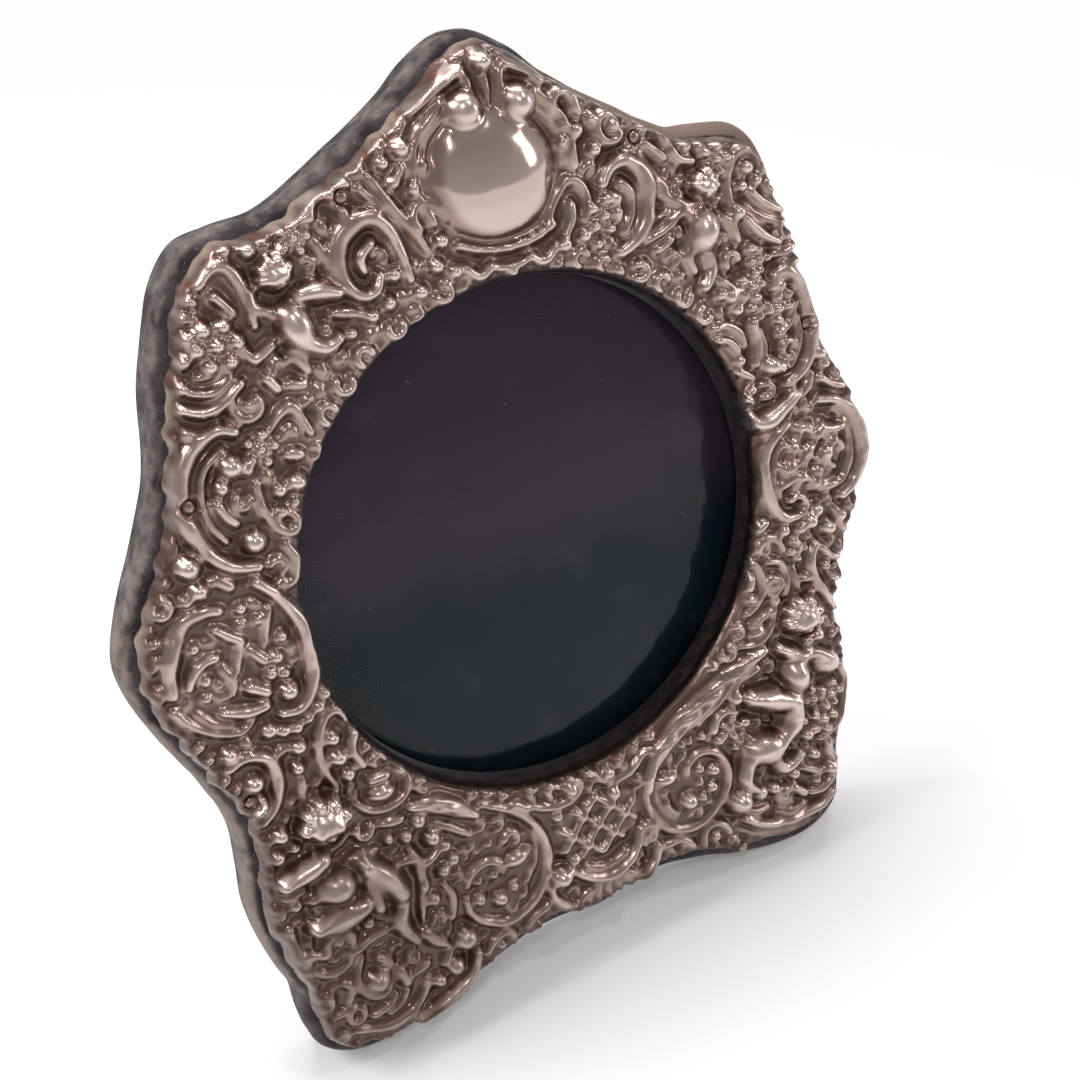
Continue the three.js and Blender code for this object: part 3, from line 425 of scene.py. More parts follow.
class Graph(Nodes):
    """Shader nodes of one finish under construction."""

    def __init__(self, name: str) -> None:
        """Starts an empty material with its output node."""
        self.material = bpy.data.materials.new(name)
        self.material.use_nodes = True
        super().__init__(self.material.node_tree)
        self.output = self.add("ShaderNodeOutputMaterial")
        self.coords = self.add("ShaderNodeTexCoord").outputs["Object"]

    def stored(self, name: str) -> Socket:
        """Reads a number kept on the mesh's points."""
        return self.add("ShaderNodeAttribute", attribute_name=name).outputs["Fac"]

    def noise(self, noise: Noise) -> Socket:
        """Adds a noise."""
        spread = self.add("ShaderNodeMapping", {"Vector": self.coords, "Scale": noise.stretch}).outputs[0]
        inputs = {"Vector": spread, "Scale": noise.scale, "Detail": noise.detail}
        return self.add("ShaderNodeTexNoise", inputs).outputs["Fac"]

    def plus(self, first: object, second: object, times: float) -> Socket:
        """The first number and a multiple of the second."""
        return self.math("ADD", first, self.math("MULTIPLY", second, times))

    def stirred(self, value: object, noise: Socket, amount: float) -> Socket:
        """A value pushed up and down by a noise, by half the amount at most."""
        return self.plus(value, self.math("SUBTRACT", noise, 0.5), amount)

    def ease(self, value: object, span: Range, result: Range = (0.0, 1.0)) -> Socket:
        """Maps a value smoothly from a span to a result, and holds it there."""
        ends = dict(zip(("From Min", "From Max", "To Min", "To Max"), (*span, *result)))
        inputs = {"Value": value, **ends}
        return self.add("ShaderNodeMapRange", inputs, interpolation_type="SMOOTHSTEP").outputs["Result"]

    def mix(self, share: object, first: object, second: object) -> Socket:
        """Mixes two colours."""
        node = self.add("ShaderNodeMix", data_type="RGBA", clamp_factor=True)
        ends = {socket.identifier: socket for socket in node.inputs}
        for end, value in (("Factor_Float", share), ("A_Color", first), ("B_Color", second)):
            self.set(ends[end], value)
        return next(socket for socket in node.outputs if socket.identifier == "Result_Color")

    def cover(self, under: object, over: Color, value: object, span: Range, most: float = 1.0) -> Socket:
        """Lays a colour over another as a value crosses a span, up to its most."""
        return self.mix(self.ease(value, span, (0.0, most)), under, over)

    def bump(self, height: Socket, strength: float, distance: float) -> Socket:
        """Normal from a height, with distance in millimetres."""
        inputs = {"Height": height, "Strength": strength, "Distance": distance * MM}
        return self.add("ShaderNodeBump", inputs).outputs["Normal"]

    def end(self, shader: bpy.types.Node) -> Material:
        """Ends the graph in a shader."""
        self.tree.links.new(shader.outputs[0], self.output.inputs["Surface"])
        return self.material


# Finishes


class Finish:
    """A named finish, whose bump is a strength and a depth in millimetres."""

    name: str

    def look(self, graph: Graph) -> dict:
        """Inputs of the finish's shader."""
        raise NotImplementedError

    def material(self) -> Material:
        """Builds the finish."""
        graph = Graph(self.name)
        return graph.end(graph.add("ShaderNodeBsdfPrincipled", self.look(graph)))


@dataclass(frozen=True)
class SilverFinish(Finish):
    """Old silver: bright where it is rubbed, soil along the outer edge, and dark brown in its hollows and on
    the lower sides of its forms, from tarnishing and from painted shade.
    """

    name: str = "old_silver"
    rubbed: Color = (0.68, 0.555, 0.50)
    plain: Color = (0.315, 0.222, 0.185)
    # Dark brown for tarnishing and for painted shade
    dark_tarnish_and_shade: Color = (0.105, 0.055, 0.041)
    soil: Color = (0.27, 0.205, 0.15)
    cloud: Noise = Noise(240, 5)
    cloud_share: float = 0.4
    grain: Noise = Noise(2600, 3)
    grain_span: Range = (0.4, 0.8)
    patches: Noise = Noise(95, 5)
    patch_span: Range = (0.5, 0.6)
    dents: Noise = Noise(420, 3)
    grain_dents: float = 0.15
    dark_span: Range = (0.16, 1.0)
    rub_span: Range = (0.1, 0.8)
    roughness: Range = (0.27, 0.46)
    grain_roughness: Range = (0.0, 0.07)
    soil_roughness: float = 0.3
    soil_cover: float = 0.75
    polish_gloss: float = 0.15
    bump: Range = (0.14, 0.16)

    def look(self, graph: Graph) -> dict:
        """Inputs of the finish's shader."""
        grain, polish = graph.noise(self.grain), graph.stored("polish")
        # Tarnishing and painted shade together darken the colour towards dark brown
        tarnish_and_painted_shade = graph.stirred(graph.stored("tarnish_and_painted_shade"), graph.noise(self.cloud), self.cloud_share)
        dark = graph.ease(tarnish_and_painted_shade, self.dark_span)
        patches = graph.ease(graph.noise(self.patches), self.patch_span)
        soiled = graph.math("MULTIPLY", graph.stored("soil"), patches)
        color = graph.cover(self.plain, self.rubbed, graph.stored("rub"), self.rub_span)
        color = graph.mix(dark, color, self.dark_tarnish_and_shade)
        rough = graph.plus(graph.ease(dark, (0, 1), self.roughness), soiled, self.soil_roughness)
        rough = graph.math("ADD", rough, graph.ease(grain, self.grain_span, self.grain_roughness))
        dents = graph.plus(graph.noise(self.dents), grain, self.grain_dents)
        dents = graph.math("MULTIPLY", dents, graph.math("SUBTRACT", 1.0, polish))
        return {
            "Base Color": graph.mix(soiled, color, self.soil),
            "Metallic": graph.plus(1.0, soiled, -self.soil_cover),
            "Roughness": graph.plus(rough, polish, -self.polish_gloss),
            "Normal": graph.bump(dents, *self.bump),
            "Coat Weight": 0.8,
            "Coat Roughness": 0.05,
        }


@dataclass(frozen=True)
class VelvetFinish(Finish):
    """Short worn pile: grey and dusty on the crest of the edge, kept unworn and near black in the fold by the
    silver and along the base as painted shade.
    """

    name: str = "worn_velvet"
    deep: Color = (0.016, 0.012, 0.016)
    pile: Color = (0.060, 0.051, 0.056)
    worn: Color = (0.31, 0.252, 0.226)
    brown: Color = (0.20, 0.150, 0.120)
    ground: Color = (0.19, 0.138, 0.108)
    lint: Color = (0.36, 0.32, 0.30)
    bloom: Color = (0.62, 0.57, 0.575)
    cloud: Noise = Noise(150, 5)
    cloud_wear: float = 0.7
    mottle: Noise = Noise(430, 9)
    mottle_wear: float = 1.3
    mottle_bare: float = 1.6
    nap: Noise = Noise(1900, 4)
    fuzz: Noise = Noise(5200, 2)
    fuzz_height: float = 0.6
    pile_span: Range = (0.35, 0.65)
    worn_span: Range = (0.2, 1.45)
    brown_span: Range = (0.42, 0.8)
    brown_most: float = 0.75
    bare_span: Range = (0.2, 0.9)
    lint_span: Range = (0.66, 0.74)
    lint_most: float = 0.7
    bump: Range = (0.6, 0.25)

    def look(self, graph: Graph) -> dict:
        """Inputs of the finish's shader."""
        cloud, mottle, nap = (graph.noise(noise) for noise in (self.cloud, self.mottle, self.nap))
        # wear_and_shade holds how worn the velvet looks, with painted shade in the fold and along the base
        wear_and_shade = graph.stirred(graph.stored("wear_and_shade"), cloud, self.cloud_wear)
        bald = graph.stirred(wear_and_shade, mottle, self.mottle_wear)
        bare = graph.stirred(graph.stored("bare"), mottle, self.mottle_bare)
        color = graph.cover(self.deep, self.pile, cloud, self.pile_span)
        color = graph.cover(color, self.worn, bald, self.worn_span)
        browned = graph.math("MULTIPLY", bald, cloud)
        color = graph.cover(color, self.brown, browned, self.brown_span, self.brown_most)
        color = graph.cover(color, self.ground, bare, self.bare_span)
        height = graph.plus(nap, graph.noise(self.fuzz), self.fuzz_height)
        return {
            "Base Color": graph.cover(color, self.lint, nap, self.lint_span, self.lint_most),
            "Roughness": 0.92,
            "Sheen Weight": 0.15,
            "Sheen Roughness": 0.45,
            "Sheen Tint": self.bloom,
            "Specular IOR Level": 0.2,
            "Normal": graph.bump(height, *self.bump),
        }


@dataclass(frozen=True)
class WoodFinish(Finish):
    """Plain sanded softwood with its grain up the board."""

    name: str = "softwood"
    pale: Color = (0.46, 0.30, 0.16)
    dark: Color = (0.24, 0.13, 0.06)
    drift: Noise = Noise(40, 4, (1, 0.4, 0.12))
    bump: Range = (0.2, 0.08)

    def look(self, graph: Graph) -> dict:
        """Inputs of the finish's shader."""
        waves = {"Vector": graph.coords, "Scale": 70.0, "Distortion": 6.0, "Detail": 3.0, "Detail Scale": 0.6}
        bands = graph.add("ShaderNodeTexWave", waves, wave_type="BANDS", bands_direction="X")
        rings = bands.outputs["Fac"]
        color = graph.mix(graph.math("MULTIPLY", rings, graph.noise(self.drift)), self.pale, self.dark)
        return {"Base Color": color, "Roughness": 0.62, "Normal": graph.bump(rings, *self.bump)}


@dataclass(frozen=True)
class Layer:
    """A colour laid over those under it where a noise crosses a span."""

    color: Color
    noise: Noise
    span: Range
    most: float = 1.0


@dataclass(frozen=True)
class LayeredFinish(Finish):
    """A ground colour under layers of others, with a bumpy texture and fixed inputs of the shader."""

    name: str
    ground: Color
    layers: tuple[Layer, ...]
    texture: Noise
    bump: Range
    fixed: dict

    def base(self, graph: Graph) -> object:
        """Colour under the layers."""
        return self.ground

    def look(self, graph: Graph) -> dict:
        """Inputs of the finish's shader."""
        color = self.base(graph)
        for layer in self.layers:
            color = graph.cover(color, layer.color, graph.noise(layer.noise), layer.span, layer.most)
        normal = graph.bump(graph.noise(self.texture), *self.bump)
        return {"Base Color": color, "Normal": normal, **self.fixed}


@dataclass(frozen=True)
class PaintedReflectionCardFinish(LayeredFinish):
    """A card that turns to another colour under a drifting line, as a painted reflection, with heights in
    metres.
    """

    # Blue-green black of the painted reflection on the lower part
    below: Color = (0.004, 0.013, 0.019)
    turn_span: Range = (0.073, 0.093)
    drift: Noise = Noise(60, 3)
    drift_height: float = 0.02

    def base(self, graph: Graph) -> object:
        """Colour under the layers."""
        height = graph.add("ShaderNodeSeparateXYZ", {"Vector": graph.coords}).outputs["Z"]
        height = graph.stirred(height, graph.noise(self.drift), self.drift_height)
        return graph.cover(self.below, self.ground, height, self.turn_span)


@dataclass(frozen=True)
class BrassFinish(LayeredFinish):
    """Brass that is rougher where its first layer lies."""

    rough_span: Range = (0.3, 0.8)
    roughness: Range = (0.26, 0.5)

    def look(self, graph: Graph) -> dict:
        """Inputs of the finish's shader."""
        rough = graph.ease(graph.noise(self.layers[0].noise), self.rough_span, self.roughness)
        return {**super().look(graph), "Roughness": rough}


# Dark strip round the window's wall, browner where its pile has gone
LINING = LayeredFinish(
    "window_lining",
    ground=(0.012, 0.008, 0.010),
    layers=(Layer((0.034, 0.024, 0.024), Noise(420, 5), (0.42, 0.7)),),
    texture=Noise(2600, 3),
    bump=(0.5, 0.2),
    fixed={"Roughness": 0.9, "Sheen Weight": 0.2, "Sheen Roughness": 0.4, "Specular IOR Level": 0.2},
)

# Clear old glass with a faint waviness
GLASS = LayeredFinish(
    "old_glass",
    ground=(0.93, 0.95, 0.96),
    layers=(),
    texture=Noise(28, 2),
    bump=(0.05, 0.3),
    fixed={"Roughness": 0.03, "IOR": 1.22, "Transmission Weight": 1.0},
)

# Blank near-black card with specks and a film of dust; its plum upper part and blue-green black lower part
# are a painted reflection of the room in the glass
DUST = (0.22, 0.22, 0.26)
DARK_CARD = PaintedReflectionCardFinish(
    "dark_card",
    ground=(0.041, 0.026, 0.043),
    layers=(Layer(DUST, Noise(1100, 2), (0.735, 0.79), 0.8), Layer(DUST, Noise(90, 6), (0.55, 0.8), 0.12)),
    texture=Noise(3000, 2),
    bump=(0.06, 0.03),
    fixed={"Roughness": 0.8, "Specular IOR Level": 0.1},
)

# Rough strawboard
FIBRE = Noise(1500, 4, (1, 0.2, 1))
STRAWBOARD = LayeredFinish(
    "strawboard",
    ground=(0.42, 0.31, 0.17),
    layers=(Layer((0.22, 0.15, 0.08), FIBRE, (0.5, 0.75)),),
    texture=FIBRE,
    bump=(0.4, 0.1),
    fixed={"Roughness": 0.88},
)

# Worn satin brass, dull in clouds, with brown spots
BRASS = BrassFinish(
    "worn_brass",
    ground=(0.70, 0.50, 0.22),
    layers=(
        Layer((0.36, 0.24, 0.10), Noise(320, 5), (0.38, 0.68)),
        Layer((0.10, 0.06, 0.03), Noise(900, 3), (0.66, 0.76), 0.85),
    ),
    texture=Noise(1500, 3, (0.12, 1, 1)),
    bump=(0.15, 0.04),
    fixed={"Metallic": 1.0},
)


# Relief of the silver


class Profile(Enum):
    """Cross-sections of a raised line, each with the power that fills it out."""

    ROUND = 0.85
    SCROLL = 0.7
    FLUTE = 0.6

    def section(self, share: np.ndarray, along: np.ndarray) -> np.ndarray:
        """Height share across a line.

        Args:
            share: distance from the line's middle over its half width.
            along: millimetres along the line.

        Returns:
            Height share, 1 at the line's top and 0 outside it.
        """
        full = np.clip(1 - share**2, 0, 1) ** self.value
        if self is Profile.SCROLL:
            depth, place, width = 0.3, 0.25, 0.22
            full *= 1 - depth * np.exp(-(((share - place) / width) ** 2))
        if self is Profile.FLUTE:
            across, length, floor = 2.0, 7.0, 0.45
            strands = 0.5 + 0.5 * np.cos(FULL_TURN * (across * share - along / length))
            full *= floor + (1 - floor) * strands
        return full


@dataclass
class ReliefMap:
    """Square grid of heights over the face."""

    half_width: float = 82.0
    half_height: float = 94.0
    pitch: float = 0.382
    sharpness: float = 6.0
    spread: float = 1.0
    round_spread: float = 1.45
    lowest: float = 0.25
    steepest: float = 0.9

    def __post_init__(self) -> None:
        """Lays out the grid."""
        counts = [round(half / self.pitch) for half in (self.half_width, self.half_height)]
        columns, rows = (self.pitch * np.arange(-count, count + 1) for count in counts)
        self.x, self.y = np.meshgrid(columns, rows)
        self.height = np.zeros_like(self.x)

    def window(self, low: np.ndarray, high: np.ndarray) -> tuple[slice, slice]:
        """Rows and columns of the grid that hold all between two corners."""
        corner = (self.half_width, self.half_height)
        first = np.maximum(np.floor((low + corner) / self.pitch).astype(int) - 1, 0)
        last = np.maximum(np.ceil((high + corner) / self.pitch).astype(int) + 3, first)
        return slice(first[1], last[1]), slice(first[0], last[0])

    def merge(self, window: tuple[slice, slice], height: np.ndarray) -> None:
        """Raises a form on the grid, with a tight dip where it meets its neighbours."""
        old = self.height[window]
        self.height[window] = (old**self.sharpness + height**self.sharpness) ** (1 / self.sharpness)

    def eased(self, height: float, half_width: float) -> float:
        """Height of a form, held to what its half width can carry."""
        return min(height, self.lowest + self.steepest * half_width)

    def blurred(self, field: np.ndarray, reach: float) -> np.ndarray:
        """Gaussian blur of a field, with reach in millimetres."""
        rows = np.fft.fftfreq(field.shape[0])[:, None]
        columns = np.fft.rfftfreq(field.shape[1])[None, :]
        pass_band = np.exp(-2 * (math.pi * reach / self.pitch) ** 2 * (rows**2 + columns**2))
        return np.fft.irfft2(np.fft.rfft2(field) * pass_band, s=field.shape)


@dataclass(frozen=True)
class Line:
    """Raised line along a smooth path."""

    path: np.ndarray
    widths: tuple[float, ...]
    height: float
    profile: Profile

    def raise_on(self, relief: ReliefMap) -> None:
        """Raises the line on the grid."""
        points, along = self.smooth_path()
        marks = np.linspace(0, along[-1], len(self.widths))
        spread = relief.round_spread if self.profile is Profile.ROUND else relief.spread
        widths = spread * np.interp(along, marks, self.widths)
        window = relief.window(points.min(0) - widths.max(), points.max(0) + widths.max())
        x, y = relief.x[window], relief.y[window]
        nearest = np.full(x.shape, np.inf)
        reach = np.zeros(x.shape)
        for k in range(len(points) - 1):
            (ax, ay), (dx, dy) = points[k], points[k + 1] - points[k]
            share = np.clip(((x - ax) * dx + (y - ay) * dy) / (dx * dx + dy * dy), 0, 1)
            away = np.hypot(x - ax - share * dx, y - ay - share * dy)
            away /= widths[k] + share * (widths[k + 1] - widths[k])
            closer = away < nearest
            nearest = np.where(closer, away, nearest)
            reach = np.where(closer, along[k] + share * (along[k + 1] - along[k]), reach)
        height = relief.eased(self.height, widths.max())
        relief.merge(window, height * self.profile.section(nearest, reach))

    def smooth_path(self, step: float = 0.6) -> tuple[np.ndarray, np.ndarray]:
        """Catmull-Rom path through the points, and the length along it."""
        ends = np.vstack([2 * self.path[0] - self.path[1], self.path, 2 * self.path[-1] - self.path[-2]])
        pieces = []
        for p0, p1, p2, p3 in zip(ends, ends[1:], ends[2:], ends[3:]):
            count = max(2, math.ceil(np.linalg.norm(p2 - p1) / step))
            t = (np.arange(count) / count)[:, None]
            bend = 2 * p0 - 5 * p1 + 4 * p2 - p3
            turn = 3 * p1 - p0 - 3 * p2 + p3
            pieces.append(p1 + 0.5 * t * (p2 - p0 + t * (bend + t * turn)))
        points = np.vstack([*pieces, self.path[-1:]])
        return points, np.concatenate([[0], np.cumsum(np.linalg.norm(np.diff(points, axis=0), axis=1))])


@dataclass(frozen=True)
class Dome:
    """Raised oval form, which may sit on another."""

    x: float
    y: float
    rx: float
    ry: float
    height: float
    turn: float = 0.0
    fullness: float = 0.75
    seat: float = 0.0

    def raise_on(self, relief: ReliefMap) -> None:
        """Raises the dome on the grid."""
        reach = max(self.rx, self.ry)
        middle = np.array((self.x, self.y))
        window = relief.window(middle - reach, middle + reach)
        turn = math.radians(self.turn)
        dx, dy = relief.x[window] - self.x, relief.y[window] - self.y
        across = (dx * math.cos(turn) + dy * math.sin(turn)) / self.rx
        up = (dy * math.cos(turn) - dx * math.sin(turn)) / self.ry
        height = self.seat + relief.eased(self.height - self.seat, min(self.rx, self.ry))
        relief.merge(window, height * np.clip(1 - across**2 - up**2, 0, 1) ** self.fullness)


@dataclass(frozen=True)
class Trellis:
    """Oval pillow crossed by raised bars, with a stud at each crossing."""

    x: float
    y: float
    rx: float
    ry: float
    pitch: float
    turn: float = 0.0
    bar: float = 0.8
    height: float = 1.0
    pillow: float = 0.5
    stud: float = 1.2
    stud_height: float = 1.25
    fullness: float = 0.6
    edge: float = 3.0

    def raise_on(self, relief: ReliefMap) -> None:
        """Raises the trellis on the grid."""
        middle, reach = np.array((self.x, self.y)), np.array((self.rx, self.ry))
        window = relief.window(middle - reach, middle + reach)
        dx, dy = relief.x[window] - self.x, relief.y[window] - self.y
        inside = np.clip((1 - (dx / self.rx) ** 2 - (dy / self.ry) ** 2) * self.edge, 0, 1)
        turns = [math.radians(self.turn + 45), math.radians(self.turn - 45)]
        across = [dx * math.cos(turn) + dy * math.sin(turn) for turn in turns]
        away = [np.abs((a + self.pitch / 2) % self.pitch - self.pitch / 2) for a in across]
        bars = [np.clip(1 - (a / self.bar) ** 2, 0, 1) ** self.fullness for a in away]
        stud = np.clip(1 - (away[0] ** 2 + away[1] ** 2) / self.stud**2, 0, 1) ** self.fullness
        raised = np.maximum(np.maximum(*bars), self.stud_height * stud)
        relief.merge(window, inside * (self.pillow + self.height * raised))


Form = Union[Line, Dome, Trellis]

# Sizes of the forms that are the same all over, with a rise as a least height and a slope with size
BAND_FROM = 1.2
HIGHEST_LINE = 3.2
LINE_RISE = (0.9, 1.1)
CURL_RISE = (0.9, 1.15)
CURL_STEP = 30
BEAD = 1.45
BEAD_RISE = (0.7, 0.8)
PETAL_REACH = 1.12
PETAL = 0.616
PETAL_RISE = (0.8, 0.55)
PETAL_SEAT = 0.25
FLOWER_MIDDLE_RISE = (0.9, 0.62)
FLOWER_MIDDLE_SEAT = 0.35
FLOWER_MOUND = 1.35
FLOWER_MOUND_SLOPE = 0.3


def height_for(rise: Range, size: float) -> float:
    """Height of a form of some size, from its least height and its slope."""
    return rise[0] + rise[1] * size


def line(
    path: str,
    width: Union[float, tuple[float, ...]] = 1.0,
    height: Union[float, None] = None,
    profile: Profile = Profile.ROUND,
) -> Line:
    """A raised line.

    Args:
        path: points on the face, as "x y, x y".
        width: half width, or several along the line.
        height: height over the ground, or None for one that suits the width.
        profile: its cross-section.

    Returns:
        The line, which gets a scroll's channel if it is wide and nothing else is said.
    """
    widths = width if isinstance(width, tuple) else (width,)
    if height is None and profile is Profile.ROUND and max(widths) >= BAND_FROM:
        profile = Profile.SCROLL
    height = height or min(HIGHEST_LINE, height_for(LINE_RISE, max(widths)))
    return Line(parse_points(path), widths, height, profile)


def scroll(path: str, width: tuple[float, ...], height: float = 3.0) -> Line:
    """A moulded scroll with a channel along it."""
    return line(path, width, height, Profile.SCROLL)


def around(x: float, y: float, reach: float, degrees: float) -> Range:
    """Point at a distance and in a direction from another."""
    return x + reach * math.cos(math.radians(degrees)), y + reach * math.sin(math.radians(degrees))


def curl(
    x: float, y: float, radius: float, start: float, end: float, width: float = 0.9, height: float = 0.0
) -> Line:
    """A raised arc from one angle to another, in degrees, with a point at about every step."""
    angles = np.linspace(start, end, max(3, round(abs(end - start) / CURL_STEP) + 1))
    path = np.array([around(x, y, radius, angle) for angle in angles])
    return Line(path, (width,), height or height_for(CURL_RISE, width), Profile.ROUND)


def knob(x: float, y: float, radius: float, height: float, seat: float = 0.0) -> Dome:
    """A round dome."""
    return Dome(x, y, radius, radius, height, seat=seat)


def beads(places: str) -> list[Dome]:
    """Round beads, as "x y radius, x y radius"."""
    low, slope = BEAD_RISE
    return [knob(x, y, BEAD * r, low + BEAD * slope * r) for x, y, r in parse_points(places)]


def flower(x: float, y: float, radius: float, petals: int = 5) -> list[Dome]:
    """A rosette of round berries about a middle one, on a low mound."""
    reach, size = PETAL_REACH * radius, PETAL * radius
    mound = knob(x, y, FLOWER_MOUND * reach, FLOWER_MOUND_SLOPE * radius)
    middle = knob(x, y, size, height_for(FLOWER_MIDDLE_RISE, radius), FLOWER_MIDDLE_SEAT * radius)
    places = [around(x, y, reach, 360 * k / petals) for k in range(petals)]
    berries = [knob(*place, size, height_for(PETAL_RISE, radius), PETAL_SEAT * radius) for place in places]
    return [mound, middle, *berries]


def cherub_head(x: float, y: float, radius: float, height: float, tilt: float) -> list[Form]:
    """A plain cherub's head: skull, cheeks, nose, chin and a cap of curls.

    Args:
        x, y: middle of the head.
        radius: its half width.
        height: its height over the ground.
        tilt: direction of the top of the head, in degrees.

    Returns:
        The forms that make it.
    """
    cheeks = [(turn, 0.46, 0.34, 0.93, 0.75) for turn in (118, -118)]
    nose, chin = (180, 0.16, 0.17, 1.12, 0.75), (180, 0.62, 0.26, 0.86, 0.75)
    curls = [(42 * k, 0.82, 0.36, 0.88, 0.45) for k in range(-2, 3)]
    forms: list[Form] = [Dome(x, y, radius, radius * 0.92, height)]
    for turn, reach, size, rise, seat in (*cheeks, nose, chin, *curls):
        place = around(x, y, reach * radius, tilt + turn)
        forms.append(knob(*place, size * radius, height * rise, seat * height))
    return forms


# Plain cartouche under the crest, with its rims, volutes, leaf and knob
CREST: list[Form] = [
    Dome(-1, 68.4, 12.6, 11.4, 3.7, fullness=0.7),
    line("-9.4 57.6, -5 56, 0 55.5, 5 56, 9.4 57.6", 0.8, 2.2),
    *beads("-6.5 56.4 0.8, -3.2 55.6 0.8, 0 55.4 0.8, 3.2 55.6 0.8, 6.5 56.4 0.8"),
    line("-9 53.6, -6.5 51.6, -4 53", 0.9), line("9 53.6, 6.5 51.6, 4 53", 0.9),
    line("-4 53, -2 52.3, 0 52.1, 2 52.3, 4 53", 0.8), *beads("-11 53.5 1.2, 11 53.6 1.3, 0 50.9 0.9"),
    curl(-3, 69.5, 12.8, 118, 215, 0.8), curl(-3, 69.5, 10.9, 122, 210, 0.6),
    curl(3, 69, 12.6, -12, 64, 0.8), curl(3, 69, 10.8, -8, 58, 0.6),
    *beads("-5 79 2.6, 5.5 78.7 2.6, 0 86.2 1.5"), line("-1 77, -3 81, -3.5 84", 0.8),
    line("1 77, 2.5 81, 3 84.5", 0.8), line("0 78, 0 83.4", 0.7), line("4 85.5, 8 83.6, 10.5 81.6", 0.9),
    line("-4 85.5, -9 83.2, -14 80.6", 0.9), line("8.4 81.4, 10.5 79, 12 76.6", 0.7),
    line("-8.4 81.2, -11 78.6, -13 75.6", 0.7),
]

# Right of the crest: curls, C-scrolls and the upper cherub
TOP_RIGHT: list[Form] = [
    curl(14.4, 77, 2.4, -20, 200), *beads("16.5 72.4 1.3, 13.4 71 1, 14 73.8 0.9, 17.4 75.4 0.9"),
    line("15.2 69.6, 15.4 66.6", 0.9),
    line("8 57, 10 61, 13.5 64.3, 16.5 63, 17.2 59.5, 16 57.2", (0.8, 1.2, 0.9)),
    line("11 54.4, 13.2 57.6, 13.6 60.4", 0.8), *flower(19.8, 57.2, 2.4),
    *beads("15.4 54.4 1.2, 18 52.4 1"),
    scroll(
        "20.5 62.5, 22.5 65, 25.5 65.8, 28.6 63.5, 29.8 59.5, 29 55, 26 51.5, 22.5 49.9",
        (1.2, 2.2, 1.4),
    ),
    line("24 62.3, 26.2 60, 26 56.4, 24.3 53.4", 0.9), *beads("22.4 59.6 1.3, 22.6 56 1"),
    line("26.5 67, 30 62.6, 33 58.6, 36.5 56.2, 41 55.2", (0.8, 1.3, 0.9)),
    line("28.9 66.6, 32.2 62, 34.6 59.2", 0.6), curl(23.4, 71.9, 2.5, 70, 330),
    *beads("24.3 72.2 1.2, 19.8 68.6 1.1, 20 74 1"), curl(31.5, 66.8, 3.9, 10, 160),
    line("29 69, 32.5 66.4, 34.4 64.6", 0.8), line("36.2 66, 37.5 64, 40.5 63", 0.9),
    *flower(45.4, 62.6, 2.2), *beads("39.6 66 1.1, 42.6 65.6 0.9"),
    line("28 50.6, 31.5 51.5, 34.8 53", 0.8), line("30 54.2, 34 55", 0.7), line("31 48.6, 34 50", 0.8),
    *cherub_head(42.6, 58.2, 3, 3.4, 80), Dome(41.2, 50.2, 3.6, 5.2, 3.4, -14),
    line("39.6 53, 36.6 54.4, 34.4 52.6", (1.4, 1.3, 0.9)),
    line("41.4 46, 42.6 42.6, 40.4 39.4", (1.9, 1.7, 1)),
    line("38.8 49, 37.4 46, 38.6 43", (1.6, 1.4, 0.9)),
    line("45 52.4, 48 50, 49.6 46.4", (1.3, 1.7, 0.8), None, Profile.FLUTE),
    scroll("48.2 54, 48.6 59, 50.2 62.5, 53.2 63.4, 56.4 61.4, 57 58.6", (0.9, 1.4, 1), 2.6),
    *beads("49.6 52 1.5, 52.6 59.8 1.3, 51.4 56.6 1.1, 55 57 1.1"),
    line("51.5 53.4, 55 50.2, 59.4 48.2", (0.9, 1.2, 0.8)),
    line("51.6 50.4, 55 46.8, 58.8 44.4", (0.9, 1.1, 0.7)),
    line("53.4 55.2, 57 52, 60.4 50.4", (0.8, 1, 0.7)), curl(61, 46.6, 1.7, 100, 330, 0.7),
    line("57.6 42.2, 60.4 42.2, 63 43.4", 0.8), line("59.4 40.2, 62 39.8, 64 40.6", 0.7),
]

# Right of the window: the great C-scroll and the wave under it
SIDE_RIGHT: list[Form] = [
    *beads("52.2 44.6 1"), *flower(54, 42, 1.8, 4), *flower(51.3, 37.4, 2.2), *flower(53, 33, 1.8, 4),
    line("44.5 40, 47.6 37.4, 49.4 35", 0.9), *beads("46.2 36.4 1.4, 44 37.2 1.1, 47.6 33.6 1.3"),
    scroll(
        "56.5 36, 57.5 38.6, 60.5 38.4, 63.8 35, 65.8 30, 66 25.5, 64.6 20.5, 61.5 17.2, 57.8 16",
        (1.2, 2.2, 1.2), 3.2,
    ),
    line("62.6 29, 62.4 23.4, 60.4 20, 58 19", 0.7), *beads("58.4 36 1.2, 60.6 34 1, 62 31.6 0.9"),
    *flower(57.6, 31.6, 2.1, 4), line("57.6 26.6, 60.4 28, 61.4 30", 0.8), curl(59.4, 23, 1.7, 0, 300, 0.8),
    *beads("54.4 20.6 1.8, 56.6 20 1.4"), line("42 31, 44.8 31, 47.6 29, 48.9 26", (0.9, 1.4, 0.9)),
    line("42.6 28.6, 45 27.8, 46.8 25.6", 0.8), line("51.2 30, 51.9 26, 51 21.8", 0.9),
    line("53 28.4, 53.6 25, 52.8 22", 0.7), line("46 21.4, 48 20.4, 50 19", (0.9, 1.3, 0.9)),
    *beads("47.2 23.4 1, 49.4 16.8 1"),
    line("47.6 15.3, 47.2 12.5, 48.6 10.2, 51.6 9.8, 55.5 11.4, 59.5 13.8", (0.9, 1.9, 1.2), 2.8),
    line("61 12.5, 63.5 14.3, 64.6 16.6", (1.2, 1.6, 1)), *beads("67 20.3 1.4, 68.4 17.6 1"),
    line("67.2 15, 70 12.8, 72.6 12", 0.9), line("51.4 6.8, 54 9", 1.2),
]

